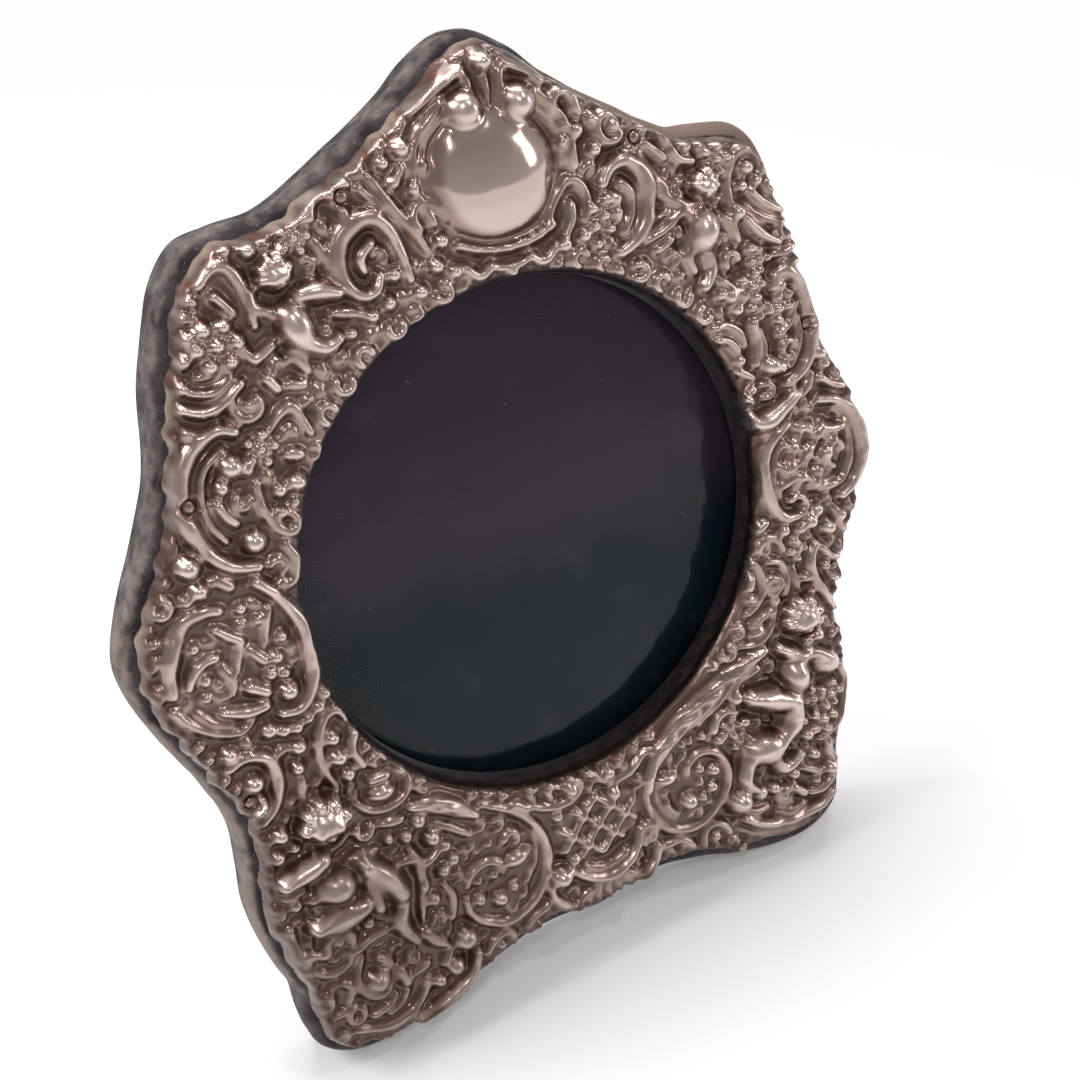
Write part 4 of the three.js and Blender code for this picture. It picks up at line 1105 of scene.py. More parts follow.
# Right medallion: two rims round a trellis pillow with leaves and beads
MEDALLION_RIGHT: list[Form] = [
    scroll(
        "57.5 7.5, 53.2 5.4, 50.7 1, 50.5 -4, 51.8 -9, 55 -12.4, 59 -12.6, 60.4 -10.5, 58.6 -8.6, "
        "56.2 -9",
        (1.1, 1.9, 0.8), 3.2,
    ),
    scroll("66.5 10.4, 70 9.6, 74 6.5, 76.6 1.5, 76.8 -4, 74.6 -9, 70.5 -12", (1.2, 2.1, 1.2), 3.2),
    line("70 7.4, 73 3.4, 73.6 -2.6, 72 -7.4, 70 -9", 0.7), line("56 4.4, 53.4 0.4, 53 -4, 54.2 -7.6", 0.6),
    Trellis(62.2, -0.6, 9.6, 8.6, 4.6, 12), line("55 -5, 58 -4.4, 61 -5", 1.1, 2.7),
    line("56.2 -2, 59.4 -1.2, 62 1", 1.1, 2.7), line("65.6 4.4, 68.6 3.6, 71.4 3.4", 1.1, 2.7),
    curl(69, -1.4, 2.3, 0, 220, 0.9, 2.6), *beads("66.6 -1.2 1.5, 64 -4.4 1.1, 62.4 5.6 1.2"),
    line("62 -7.4, 65.5 -8.6, 68.6 -9", 1.3),
]

# Right, under the medallion: beads, ovals and C-scrolls down to the lower cherub
BELOW_RIGHT: list[Form] = [
    line("46 -12.4, 48.4 -12.8, 50 -12", (1, 1.4, 1)), *flower(57.5, -20.6, 1.7, 4),
    *beads(
        "54.2 -15.2 1.2, 58.6 -15.9 1.2, 61 -14.9 1.6, 63 -13 1.4, 66 -17.8 1.5, 69.6 -16 1.3, "
        "56.6 -18 0.9"
    ),
    line("46.6 -17.4, 48.4 -15.6, 51 -15.7, 53 -17.6, 53.8 -19.6", (0.8, 1.2, 0.8)),
    curl(48.8, -17.8, 1.2, -60, 220, 0.6), line("68.4 -14.2, 69.2 -18.2, 70.6 -19.6", 0.8),
    line("43.6 -20.4, 45.2 -19.6, 46.9 -21.7, 47.3 -25.5, 45.8 -29, 42.8 -30.6", (0.8, 1.2, 0.8)),
    line("43.8 -25, 44.6 -22.6", 0.8), *beads("44.2 -27.6 0.9"),
    line("49.4 -20.6, 52.6 -22, 53.9 -25.5, 53.1 -29.5", (0.8, 1.2, 0.8)),
    curl(50, -26.5, 1.9, 0, 360, 0.7), *beads("50 -26.5 0.9, 50.4 -30 1"),
    line("56 -24.4, 56.6 -29.4", (0.8, 1.2, 0.7)),
    scroll("62.5 -20.6, 60.6 -24, 61.3 -28.5, 63.8 -33, 66 -37", (1.1, 1.8, 0.8), 2.6),
    line("64 -22, 66 -24.5, 68 -25.4", 0.9), *beads("66.6 -28.8 1.6, 64.6 -26.6 1"),
    line("50 -32.8, 47.6 -36.5, 43.8 -37.9, 40 -36.9", (0.9, 1.3, 0.8)),
    line("43.5 -33.2, 47 -32.4, 50.2 -31.9", 0.8), Dome(44.6, -35, 3, 1.6, 1.8, 12),
    *beads("59.6 -31 1, 58.8 -27.4 1"),
]

# Right lower cherub with its drapery and the clusters at the edge
CHERUB_RIGHT: list[Form] = [
    *cherub_head(56, -35.4, 4.7, 4.2, 100), *beads("61.2 -38 1.4, 60.4 -41.2 1.5, 57.6 -42 1.3"),
    line("50 -41, 52.4 -43, 55.4 -44.8", (1.2, 1.9, 1.6), 3.2), Dome(53, -48.4, 4.4, 5.8, 4, 14),
    line("56.5 -45, 59.6 -45.6, 62.4 -47", (1.8, 1.5, 1.2), 3), Dome(61.8, -48.4, 4.6, 3.4, 2.9, -30),
    line("40.5 -49, 45.5 -51.2, 51 -53.4", (1.8, 2.8, 2.2), 3.8), *beads("54.6 -54.6 1.2"),
    Dome(43.4, -62.6, 7, 4.6, 4, -10), line("51.4 -54, 50.4 -59, 47 -62", (2.4, 2.6, 2), 3.6),
    line("45 -66, 48 -69.4, 52.5 -67.6", (1.8, 1.6, 1), 3),
    line("38.6 -64, 37 -68.4, 39.4 -71.4", (1.8, 1.5, 1), 2.9), *flower(60, -62, 2.6),
    *flower(62.6, -56.6, 2.3), *flower(58, -56.4, 1.9, 4),
    scroll("66 -51, 67.6 -56, 66.4 -61.5, 63.4 -65.5, 59.4 -67.4", (1, 1.5, 0.9), 2.6),
    line("61.4 -68.6, 61.2 -71.6, 63 -73.6", 0.9), *beads("57.2 -70.2 1.2, 55.4 -64.6 1.3, 54.4 -60.4 1.2"),
    line("30.4 -53.5, 31.5 -51, 34 -50, 37 -51.2", (0.8, 1.1, 0.8)), *flower(35, -54.4, 1.9),
    *flower(37.4, -58.4, 1.7), *beads("32 -56.4 1, 36.8 -47.6 1.7, 39 -54.6 1.2"),
]

# Feathered leaf along the window on the right, wound into the lower medallion
MEDALLION_LOW_RIGHT: list[Form] = [
    line(
        "46 -40, 40 -41.9, 34 -44, 28 -46.6, 22.4 -49.2, 17.6 -52, 14 -56, 12.8 -60",
        (1.2, 3, 3.2, 2.4, 1.2), 2.4, Profile.FLUTE,
    ),
    line("44 -43.4, 38 -45, 32 -47.4, 26.6 -50.4", (0.7, 1, 0.7)),
    scroll(
        "13 -57, 12.2 -61.5, 13.4 -67, 16.5 -71.5, 21 -74, 26 -74, 30.3 -71.5, 33 -67, 33 -62.5, "
        "30.5 -58.8, 26.5 -57.6, 23.6 -58.8, 23 -61",
        (0.9, 1.2, 1.3, 0.8), 2.8,
    ),
    line("14.8 -59, 14.6 -63, 16 -67.4, 19 -70.6", (0.3, 0.5, 0.4)),
    Dome(22.7, -65.6, 9.6, 8, 0.32, fullness=0.3), Dome(17.6, -59.6, 3.4, 1.9, 2.2, -8),
    *beads("18.6 -57.3 0.5, 20.6 -57.6 0.6, 19.9 -59.4 0.8, 15.8 -60.8 0.7, 20.6 -61.2 0.5"),
    *beads(
        "26.3 -60.9 0.9, 29.8 -62.8 1.2, 25.8 -64 0.8, 28.9 -66.4 1.1, 25.8 -67.6 1, 22.2 -66.8 1.7, "
        "17 -65.3 0.7"
    ),
    line("16.9 -65.8, 18 -67.8, 19.6 -69.4", (0.5, 0.7, 0.5)),
    *beads("22.5 -53.6 0.8, 24.6 -53.8 0.7, 27.8 -53.8 0.8, 29.4 -55.3 0.6"),
]

# Middle of the base: curls over a trellis pillow, a shell and its fan of flutes
BASE_MIDDLE: list[Form] = [
    Trellis(0, -62.6, 11.4, 7.6, 4.6),
    line("-16 -51.4, -11 -53.9, -7 -54.7, -3.6 -53.9, -2.5 -51.9, -4 -50.4, -5.8 -51", (0.8, 1.3, 0.8)),
    line("16 -51.4, 12.4 -51.8, 9.4 -54, 5.2 -54.9, 2.2 -53.4, 1.2 -51.2", (0.8, 1.3, 0.8)),
    *beads("-5 -52.2 1.2, 4.2 -52.4 1.2, -2 -57.4 1.1, 4.6 -57 1.3, -9 -56.8 1.1, 0 -50.8 0.9"),
    line("-8.5 -69.5, -6 -72, -3 -74.2, 0.5 -75.4, 4 -74.8, 7 -72.8, 8.6 -70.4", (0.8, 1.2, 0.8), 2.6),
    line("-5 -70.6, -1.5 -72.6, 2 -73, 5.4 -71.6", 0.7), curl(11, -70.2, 2.2, -60, 250, 0.9),
    *beads("11 -70.4 1"), *beads("-10.4 -70.4 1.9, -7 -68 1.1, -13 -68.4 1"),
    line("-13.2 -71.5, -12.5 -75, -9.5 -78.3, -5.5 -80.6", (0.8, 1.1, 0.8)),
    line("13.4 -74, 12.3 -77, 9 -79.6, 5.5 -80.8", (0.8, 1.1, 0.8)),
    *(
        line(f"{1.6 * k} -76.2, {2.6 * k} -79, {3 * k} -81.2", (0.6, 0.95, 0.5), 2)
        for k in (-3, -2, -1, 0, 1, 2, 3)
    ),
    line("14 -75.3, 18 -75.4, 21 -76.8, 22.3 -78.8", 0.8), curl(20.2, -78.8, 1.1, 0, 300, 0.6),
    line("25 -79.6, 26 -76.8, 28.5 -75.8, 31 -77.3, 32 -79.5", 0.8), *beads("28.4 -78.8 1"),
    line("-14.5 -75.6, -17.5 -76.4, -19.6 -78.2, -19 -80", 0.8), *beads("-17.4 -79 1, -26 -79.2 0.9"),
    line("-29.5 -79.5, -27.5 -77.3, -24.8 -76.8, -23 -78.4, -23.6 -79.8", 0.8),
]

# Right foot: long gadroons and curls
FOOT_RIGHT: list[Form] = [
    line("34 -79.5, 38 -82.3, 43 -84.6, 48 -85.9, 54 -86.3", (0.8, 1.2, 0.9)),
    line("36.5 -78, 40 -80.6, 45 -82.6, 51 -83.6, 57 -83.4, 61.4 -81.4", (0.9, 1.3, 0.9), 2.6),
    line("45 -79.8, 48.4 -81.2, 53 -81.2", (0.7, 1, 0.7)), curl(47.5, -77, 1.9, 30, 320),
    *beads("47.2 -77 1.2"), line("36 -75.6, 39.6 -77.8, 43.4 -78.2", (0.9, 1.2, 0.8)),
    line("50.6 -76, 53 -78.4", 1.1), line("53.6 -72.4, 56 -74, 58.8 -75.6", (0.9, 1.3, 0.9)),
    line("55 -79.4, 58.4 -79.6, 61.6 -77.6", (0.8, 1.1, 0.8)),
    *beads("61.2 -75.2 1.5, 40.8 -72.8 1.7, 35 -72.4 2.4, 45 -74 1.3, 51 -72.8 1.3, 57.2 -77 1"),
]

# Left foot: the long border scroll, the spiral and its curls
FOOT_LEFT: list[Form] = [
    line("-31.5 -77.5, -33 -80.8, -36.5 -83.6, -41 -85.4, -46 -86", (0.9, 1.5, 1), 2.6),
    line("-58.5 -82.6, -54 -84.6, -49.5 -84.8, -45.5 -83.2, -43.2 -80.6, -42.8 -78.4", (0.9, 1.4, 0.9)),
    line("-54.6 -81, -51.4 -80.2, -49.6 -78.8", 0.8), line("-51.4 -82.2, -48.4 -81, -47 -79", 0.7),
    scroll("-54.5 -67.5, -56 -71, -55.4 -74.6, -53.4 -77, -51 -77.2, -49.7 -75.4", (1, 1.4, 0.9), 2.6),
    *beads("-52.2 -73.2 2.1, -33.3 -73.8 2, -36.6 -78.4 1.7, -40.4 -80 1.3"),
    line("-51 -69.2, -49.2 -71.6", 1), line("-48 -73.4, -46.8 -77", 1.1),
    curl(-57.8, -79, 1.6, 100, 400, 0.7), line("-59.4 -77, -61.6 -77.4", 0.7),
    line("-58.5 -71, -57.6 -73, -58.6 -75.4", 0.8), line("-45.5 -76, -42 -75.3", (1, 1.4, 1)),
    line("-55 -65.5, -52 -64.2, -48.5 -63.8", 0.9), line("-38.6 -77, -36.8 -74.6", 0.9),
]

# Left lower cherub with its raised leg and drapery
CHERUB_LEFT: list[Form] = [
    *cherub_head(-55.5, -36.2, 4.9, 4.3, 95), curl(-55, -38.6, 4.2, 215, 320, 0.6),
    line("-65 -45.6, -61 -44.7, -57.6 -43.6", (1.3, 2, 1.8), 3.2),
    line("-52.5 -46.4, -50 -45.7, -47 -46.4", (1.4, 1.2, 0.9)), Dome(-56, -49.8, 5, 4.2, 3.8, -8),
    line("-61.5 -56.2, -57 -56.2, -52 -55.6", (1.5, 3, 2), 3.7),
    line("-50.5 -49, -49.6 -54, -49 -58", (1.4, 2, 1.4), 3.4),
    line("-50 -48, -46.8 -52.6, -44.6 -57", (1.8, 2.4, 1.9), 3.6), Dome(-44.2, -58.2, 2.5, 2.3, 3.9),
    line("-44.2 -59.6, -45.4 -64, -43.4 -68.6", (1.5, 1.6, 1), 3.3),
    line("-41 -49.4, -39.4 -55, -40 -61, -41 -66", (0.9, 1.6, 1.4, 0.7), 2.6, Profile.FLUTE),
    line("-41.4 -68.4, -39.4 -71.2, -37 -73.4", (1.4, 1.5, 0.9)), line("-44.2 -51, -41 -51.8", 0.9),
    line("-40.6 -50, -38.8 -53.4", 0.8), line("-38 -53.8, -34.8 -51.8", 0.9),
    *beads("-60.8 -50.6 1.2, -60.4 -53 1.1, -64 -50.6 1.1, -39.4 -58.4 1.2, -38 -62.4 1.3"),
    line("-65.4 -48.4, -62 -48.2", 0.9), line("-64 -61.6, -61 -63.6", 0.9),
    curl(-57.8, -62.4, 2.6, -20, 200),
    line("-64.3 -65.4, -62 -67.6, -58.6 -68.4, -56.2 -66.8, -56.4 -65", (0.8, 1.2, 0.8)),
    line("-66.3 -55.4, -65.8 -60, -64.4 -63.4", 0.9), *beads("-57.8 -62 1, -51.6 -60.6 1.2"),
]

# Left lower medallion and the feathered leaf over it
MEDALLION_LOW_LEFT: list[Form] = [
    scroll(
        "-25 -46.9, -20 -50.2, -15.5 -54.5, -12.8 -60, -12.6 -65, -14.5 -70, -18.5 -73.8, -23.5 -74.8, "
        "-28 -72.8, -31 -69.4, -31.6 -65.6",
        (0.8, 1.2, 1.5, 0.9), 2.8,
    ),
    Dome(-22.4, -63.6, 9.2, 10, 0.32, fullness=0.3), line("-15 -57, -14.8 -62, -15.6 -66", (0.3, 0.5, 0.3)),
    line("-31 -63.4, -29.6 -60.6, -26.2 -59.6, -23.4 -61, -22.6 -64", (0.4, 0.8, 0.8, 0.4)),
    *beads(
        "-28.4 -62.9 0.8, -24.9 -62.9 0.9, -28.8 -66.8 1.2, -24.5 -68.8 1.4, -21.2 -67.4 1, "
        "-16.6 -61 0.7"
    ),
    Dome(-19.6, -61.4, 3.6, 2.2, 2, 8),
    *(line(f"{x} -63, {x + 0.8} -60", 0.35, 2.4) for x in (-22, -20.2, -18.4)),
    line("-16.4 -64.6, -17 -66.4, -18.2 -68", (0.4, 0.6, 0.4)),
    *beads(
        "-24.8 -53.6 0.5, -24.6 -56 0.7, -29.8 -57 0.6, -27.4 -56.8 0.6, -32.2 -56.4 0.8, "
        "-22.8 -57.6 0.4, -16.8 -57.4 0.5"
    ),
    line("-18.6 -49.8, -17 -50.6, -15.2 -52.6", (0.6, 0.8, 0.5)),
    line("-39 -40.9, -33.4 -43, -29 -46.2, -26 -48.6", (1.2, 2.4, 2.2, 1), 2.5, Profile.FLUTE),
    line("-36 -46, -32 -48.8, -28 -52.4", (0.7, 1.2, 0.7)), line("-45 -42, -41 -42.6", (1, 1.4, 1)),
    *beads(
        "-38 -44.4 1.4, -36 -49 1.5, -33.6 -52 1.1, -41 -46.6 1.2, -44.4 -45.6 1, -32.4 -55.6 1.2, "
        "-35 -57 1.2"
    ),
    line("-35.4 -60, -34 -64, -35 -68.4", (0.8, 1.2, 0.8)),
]

# Left medallion: rims round a spiral, bars and beads, with more beads and scrolls under it
MEDALLION_LEFT: list[Form] = [
    scroll("-56 10, -52.8 5.5, -50.8 0, -50.7 -5, -51.8 -10, -54.5 -13.3, -58 -13.3", (1.1, 2, 1.2), 3.1),
    scroll("-64.4 8.4, -67 9, -70.4 8.2, -73 4.6, -74.6 0, -74.8 -3.6", (1.2, 1.7, 1.6, 1.1), 3.1),
    line("-75.6 -6.4, -74 -9, -71.4 -11.6, -68.6 -13.3, -65.4 -14, -63 -12.6", (0.7, 0.7, 0.6, 0.5), 2.6),
    line("-72.4 -7.6, -70 -10.6, -66.8 -12.4", (0.4, 0.6, 0.4)),
    Dome(-63, -2, 11.4, 11, 0.32, fullness=0.3),
    line("-72.2 -3.2, -71.2 -1, -69 0.6, -66.8 0.7", (0.7, 1.1, 0.9)),
    *beads(
        "-69.3 -2.7 1.1, -67.2 -4.4 0.8, -69.8 -5.9 0.8, -69.8 3.4 1, -61.3 4.8 0.8, -60.6 7.5 1, "
        "-58.4 4.8 0.9"
    ),
    line("-65.8 5.6, -63.8 3.6, -61.8 2", (0.7, 1, 0.8)),
    line("-62 1.8, -63 -0.4, -63.8 -3", (0.9, 0.9, 0.6)),
    line("-56.2 6.4, -57.2 3, -58.2 0", (0.6, 0.8, 0.5)), line("-60.8 -0.2, -59 -2.8", 0.9),
    *beads("-56.7 -2.8 1.2, -55 0.5 1, -58.3 -5.5 1.1, -55.9 -6.3 1, -53.8 -4.6 0.7, -56 -9.7 1.5"),
    line("-62.4 -6.6, -59.8 -8.4", 1.1), line("-67.8 -9.4, -64 -10.8, -60.4 -10.8", (0.8, 1.1, 0.9), 2.4),
    line("-66.2 -1.4, -64.8 -4.6, -65.4 -7", (0.5, 0.8, 0.5)),
    *beads("-61 -15.6 1.3, -58.6 -16.6 1.1, -56.2 -16.8 1.1, -53.6 -16 1, -51.4 -14.8 1.1, -49.8 -12.6 1"),
    line("-46.8 -19, -48.5 -16.6, -51.2 -17.8, -53 -21.6, -53 -26.6, -51.5 -31.6", (0.8, 1.3, 0.8)),
    *beads("-50.4 -21.6 1.2, -50.2 -25.6 1.4, -49 -29.6 1.3"), line("-46.2 -22, -47.4 -25, -46 -29", 0.9),
    scroll("-69.4 -20, -66 -18.9, -62.6 -20.5, -61.5 -25, -63 -30, -66 -32.4", (0.9, 1.6, 0.9), 2.6),
    *beads("-68.4 -17.4 1.2, -65.4 -24.4 1.4, -66.2 -28.6 1.7, -56.6 -20.6 1.3, -57.6 -24.6 1.1"),
    line("-57.4 -27, -57.8 -31", (0.8, 1.2, 0.8)),
    line("-49 -35.6, -46.4 -38.6, -42.4 -39.4, -39 -38, -38 -35.6", (0.8, 1.2, 0.8)),
    Dome(-43.6, -35.6, 3.4, 2, 2), line("-45 -32.6, -42 -32.8", 0.9),
    *beads("-63.4 -36 1.3, -65 -40 1.3, -61.6 -39.4 1"),
]

# Left of the window: the great C-scroll, the fan of flutes and the shoulder
SIDE_LEFT: list[Form] = [
    scroll(
        "-54.8 37, -57.5 37.9, -61 36.5, -64.3 33, -66 28, -65.6 23.5, -63.6 18.5, -60.3 15, -56 13.8",
        (1.2, 2, 1.2), 3.2,
    ),
    line("-57.5 34.6, -61 32.2, -62.6 28, -62.2 23, -60.2 19.4", (0.6, 0.8, 0.6)),
    Dome(-55.7, 18.2, 2.5, 2.5, 3),
    *beads("-56.6 31.6 1.8, -59 28.6 1.2, -54.2 30.4 1.2, -67.4 17.3 1.7"),
    line("-60.4 26, -59.4 23.6, -58 22", 0.9), line("-63.5 13.6, -61.5 12", 1.3),
    *beads("-66.6 12.8 1.4, -69 11.6 1"),
    line("-49.5 35, -47 37.6, -44.9 38.6, -43.4 36.6, -42.2 33.2", (0.8, 1.3, 0.8)),
    line("-47 31, -44.6 30.2", (1.2, 1.6, 1.1)),
    line("-53.2 27.5, -53 23, -51 18.9, -48.6 17.7, -47.5 19.5, -48.6 21", (0.9, 1.3, 0.7)),
    *flower(-51.2, 33, 2.1), *beads("-46.4 26 1.5, -49.6 25.4 1.2, -50 21.6 1, -47.4 22.6 0.9"),
    line("-50.6 16, -49.4 13, -50 9.8, -51.6 8.6, -52.8 10", (0.8, 1.2, 0.7)),
    line("-57 11.2, -54.5 8.7", 1.1), line("-62.2 42.6, -59.5 41.4, -56 41.6, -51.8 44.4", (0.7, 1.1, 0.7)),
    line("-60 44.6, -56.5 44, -53.4 45.6", (0.7, 1, 0.7)), line("-58.4 46.8, -55.6 46.4, -53 47.4", 0.7),
    *beads("-61 45.6 0.9, -62 38.4 0.9"), curl(-51.8, 40.4, 2.2, 150, 390, 0.8), *beads("-51.5 40.6 1"),
    line("-47.6 44, -46.2 42", 0.9), line("-43.8 42, -41.4 41.4", 1.2), *flower(-54.4, 51, 2.9, 6),
    line("-51 50.2, -48.9 47.4", 0.9), line("-48.6 47.4, -45.4 49", 0.9),
    scroll("-55 60.4, -52.6 62.6, -50 62.4, -48.2 59, -47.5 52.6", (0.9, 1.4, 0.9), 2.6),
    line("-53 58.6, -50.6 55.4", 0.8), curl(-57.6, 57.4, 1.5, 30, 300, 0.7),
    *beads("-58.6 53 1.1, -60 49.6 1"),
]

# Left of the crest: the upper cherub, the spiral and curls
TOP_LEFT: list[Form] = [
    *beads("-17 75 1.4, -13.6 71.6 1, -20.6 73.2 1, -16 68.4 1.1, -28.4 71.2 1.2, -36 67.4 1"),
    line("-17.6 72, -19.4 69.8", 0.9), line("-23.5 71.6, -20.4 66, -17 61, -15 57.4", (0.9, 1.3, 0.8)),
    line("-25.6 70.2, -22.6 66.4", 0.7), curl(-14.6, 63.6, 2.4, 20, 230, 0.8),
    *beads("-12.6 59 1.2, -14.4 55.2 1.2"),
    scroll(
        "-19.6 54, -20.4 58.6, -22 63, -25.4 65.4, -29.4 64, -31.6 60.4, -31.2 56, -28.6 53.2, -26 53.6, "
        "-24.8 56",
        (1, 2, 1),
    ),
    line("-25.4 61.4, -27.8 59.4, -27.4 57", (0.8, 1.1, 0.7)),
    *beads("-22.4 55.4 1.2, -18 51.4 1.2, -24 51 1.2, -27.4 49.6 1.1"), curl(-32, 67.6, 2.9, -30, 190, 0.9),
    line("-34.6 63.4, -33.4 60, -33 56.6", (0.8, 1.2, 0.7)), *flower(-38.4, 64.8, 2),
    *cherub_head(-42.6, 59.8, 3.1, 3.3, 110),
    line("-39.6 55.8, -36 55.8, -32.8 54.8", (1.3, 1.7, 1.1), 3.2), Dome(-41, 51, 3.5, 4.9, 3.4, 12),
    line("-39.6 48, -36.8 46.6, -34.2 47.6", (1.7, 1.5, 1), 3),
    line("-42 46.6, -40.4 43.4", (1.6, 1.1)), line("-34 51.6, -31.2 51, -29 50.2", (1, 1.3, 0.9)),
    line("-44.6 54, -47 55.6, -46.6 58", (1.2, 1.4, 0.8), None, Profile.FLUTE),
    *beads("-46 64.4 1.2, -49.4 65 0.9, -36 49.6 0.9, -31.6 47.6 1"),
]

RELIEF = (
    CREST, TOP_RIGHT, SIDE_RIGHT, MEDALLION_RIGHT, BELOW_RIGHT, CHERUB_RIGHT, MEDALLION_LOW_RIGHT,
    BASE_MIDDLE, FOOT_RIGHT, FOOT_LEFT, CHERUB_LEFT, MEDALLION_LOW_LEFT, MEDALLION_LEFT, SIDE_LEFT,
    TOP_LEFT,
)


@dataclass(frozen=True)
class Filler:
    """Small curls and beads that crowd the ground left bare by the main forms, sized by their room."""

    seed: int = 5
    ground: float = 0.3
    smallest: float = 1.35
    largest: float = 2.8
    spacing: float = 0.95
    bead_shape: Range = (1.2, 0.85)
    bead_rise: Range = (0.25, 0.42)
    curl_from: float = 1.7
    curl_radius: float = 0.55
    curl_width: float = 0.27
    curl_sweep: float = 230.0
    curl_rise: Range = (0.3, 0.55)

    def clearance(self, relief: ReliefMap) -> np.ndarray:
        """Distance from each grid point to the nearest raised form, up to the largest filler."""
        taken = relief.height > self.ground
        clear = np.where(taken, 0.0, self.largest)
        for step in range(1, math.ceil(self.largest / relief.pitch)):
            grown = taken.copy()
            grown[1:] |= taken[:-1]
            grown[:-1] |= taken[1:]
            base = grown.copy() if step % 2 else taken
            grown[:, 1:] |= base[:, :-1]
            grown[:, :-1] |= base[:, 1:]
            clear[grown & ~taken] = step * relief.pitch
            taken = grown
        return clear

    def form(self, x: float, y: float, reach: float, turn: float) -> Form:
        """A curl, or a bead where the reach is too small for one."""
        if reach > self.curl_from:
            radius, width = self.curl_radius * reach, self.curl_width * reach
            return curl(x, y, radius, turn, turn + self.curl_sweep, width, height_for(self.curl_rise, reach))
        long, short = self.bead_shape
        return Dome(x, y, long * reach, short * reach, height_for(self.bead_rise, reach), turn, fullness=1.0)

    def crowd(self, relief: ReliefMap, room: np.ndarray) -> int:
        """Raises fillers on the bare ground, the largest first.

        Args:
            relief: the grid with its main forms.
            room: distance of each grid point from the sheet's edges.

        Returns:
            How many were raised.
        """
        clear = np.minimum(self.clearance(relief), room)
        chance = np.random.default_rng(self.seed)
        count = 0
        while clear.max() > self.smallest:
            spot = int(clear.argmax())
            x, y, reach = relief.x.flat[spot], relief.y.flat[spot], clear.flat[spot]
            self.form(x, y, reach, chance.uniform(0, 360)).raise_on(relief)
            away = np.hypot(relief.x - x, relief.y - y) - self.spacing * reach
            clear = np.minimum(clear, np.maximum(away, 0))
            count += 1
        return count


@dataclass(frozen=True)
class SheetGrid:
    """Grid points of the sheet, snapped to its edges, with their distances from them."""

    x: np.ndarray
    y: np.ndarray
    from_inner: np.ndarray
    from_outer: np.ndarray
    drop: np.ndarray
    kept: np.ndarray


@dataclass(frozen=True)
class TarnishAndShade:
    """Where the silver is dark brown, from tarnishing and from painted shade, and where it is rubbed bright.
    """

    crease_blur: float = 1.3
    crease_depth: float = 0.65
    valley_blur: float = 3.0
    valley_depth: float = 1.3
    valley_tarnish_and_shade: float = 0.45
    under_slope: Range = (-0.45, 0.75)
    under_painted_shade: float = 0.35
    ground_brown: float = 0.24
    ground_span: Range = (0.1, 0.9)
    edge_brown: float = 0.8
    edge_span: Range = (0.6, 3.2)
    height_fall: float = 0.44
    patch_brown: float = 0.36
    patch_place: Range = (-50.0, -60.0)
    patch_radius: float = 30.0
    rub_rise: float = 0.85
    broad_rub_rise: float = 1.6

    def fields(self, relief: ReliefMap, soft: np.ndarray, grid: SheetGrid) -> tuple[np.ndarray, np.ndarray]:
        """Works out both from the relief and the edge.

        Args:
            relief: the finished relief.
            soft: its heights, softened.
            grid: the sheet's points.

        Returns:
            How dark brown each point is, from tarnishing and painted shade together, and how rubbed it is.
        """
        local, broad = relief.blurred(soft, self.crease_blur), relief.blurred(soft, self.valley_blur)
        rise_y, rise_x = np.gradient(soft, relief.pitch)
        # Painted shade: slopes that face down and to the right are darkened, as if lit from the upper left
        under = np.clip(self.under_slope[0] * rise_x + self.under_slope[1] * rise_y, 0, 1)
        # Creases and wide valleys between the forms are darkened: tarnishing together with painted shade
        valley = np.clip((broad - soft) / self.valley_depth, 0, 1)
        tarnish_and_painted_shade = np.clip((local - soft) / self.crease_depth, 0, 1)
        tarnish_and_painted_shade += self.under_painted_shade * under + self.valley_tarnish_and_shade * valley
        tarnish_and_painted_shade += self.ground_brown * (1 - smoothstep(soft, *self.ground_span))
        tarnish_and_painted_shade += self.edge_brown * (1 - smoothstep(grid.from_outer, *self.edge_span))
        # Darker towards the bottom and lighter towards the top, and darker in a round patch at the lower left
        tarnish_and_painted_shade -= self.height_fall * grid.y / relief.half_height
        away = np.hypot(grid.x - self.patch_place[0], grid.y - self.patch_place[1])
        tarnish_and_painted_shade += self.patch_brown * np.exp(-((away / self.patch_radius) ** 2))
        rub = np.maximum((soft - local) / self.rub_rise, (soft - broad) / self.broad_rub_rise)
        return tarnish_and_painted_shade, np.clip(rub, 0, 1)


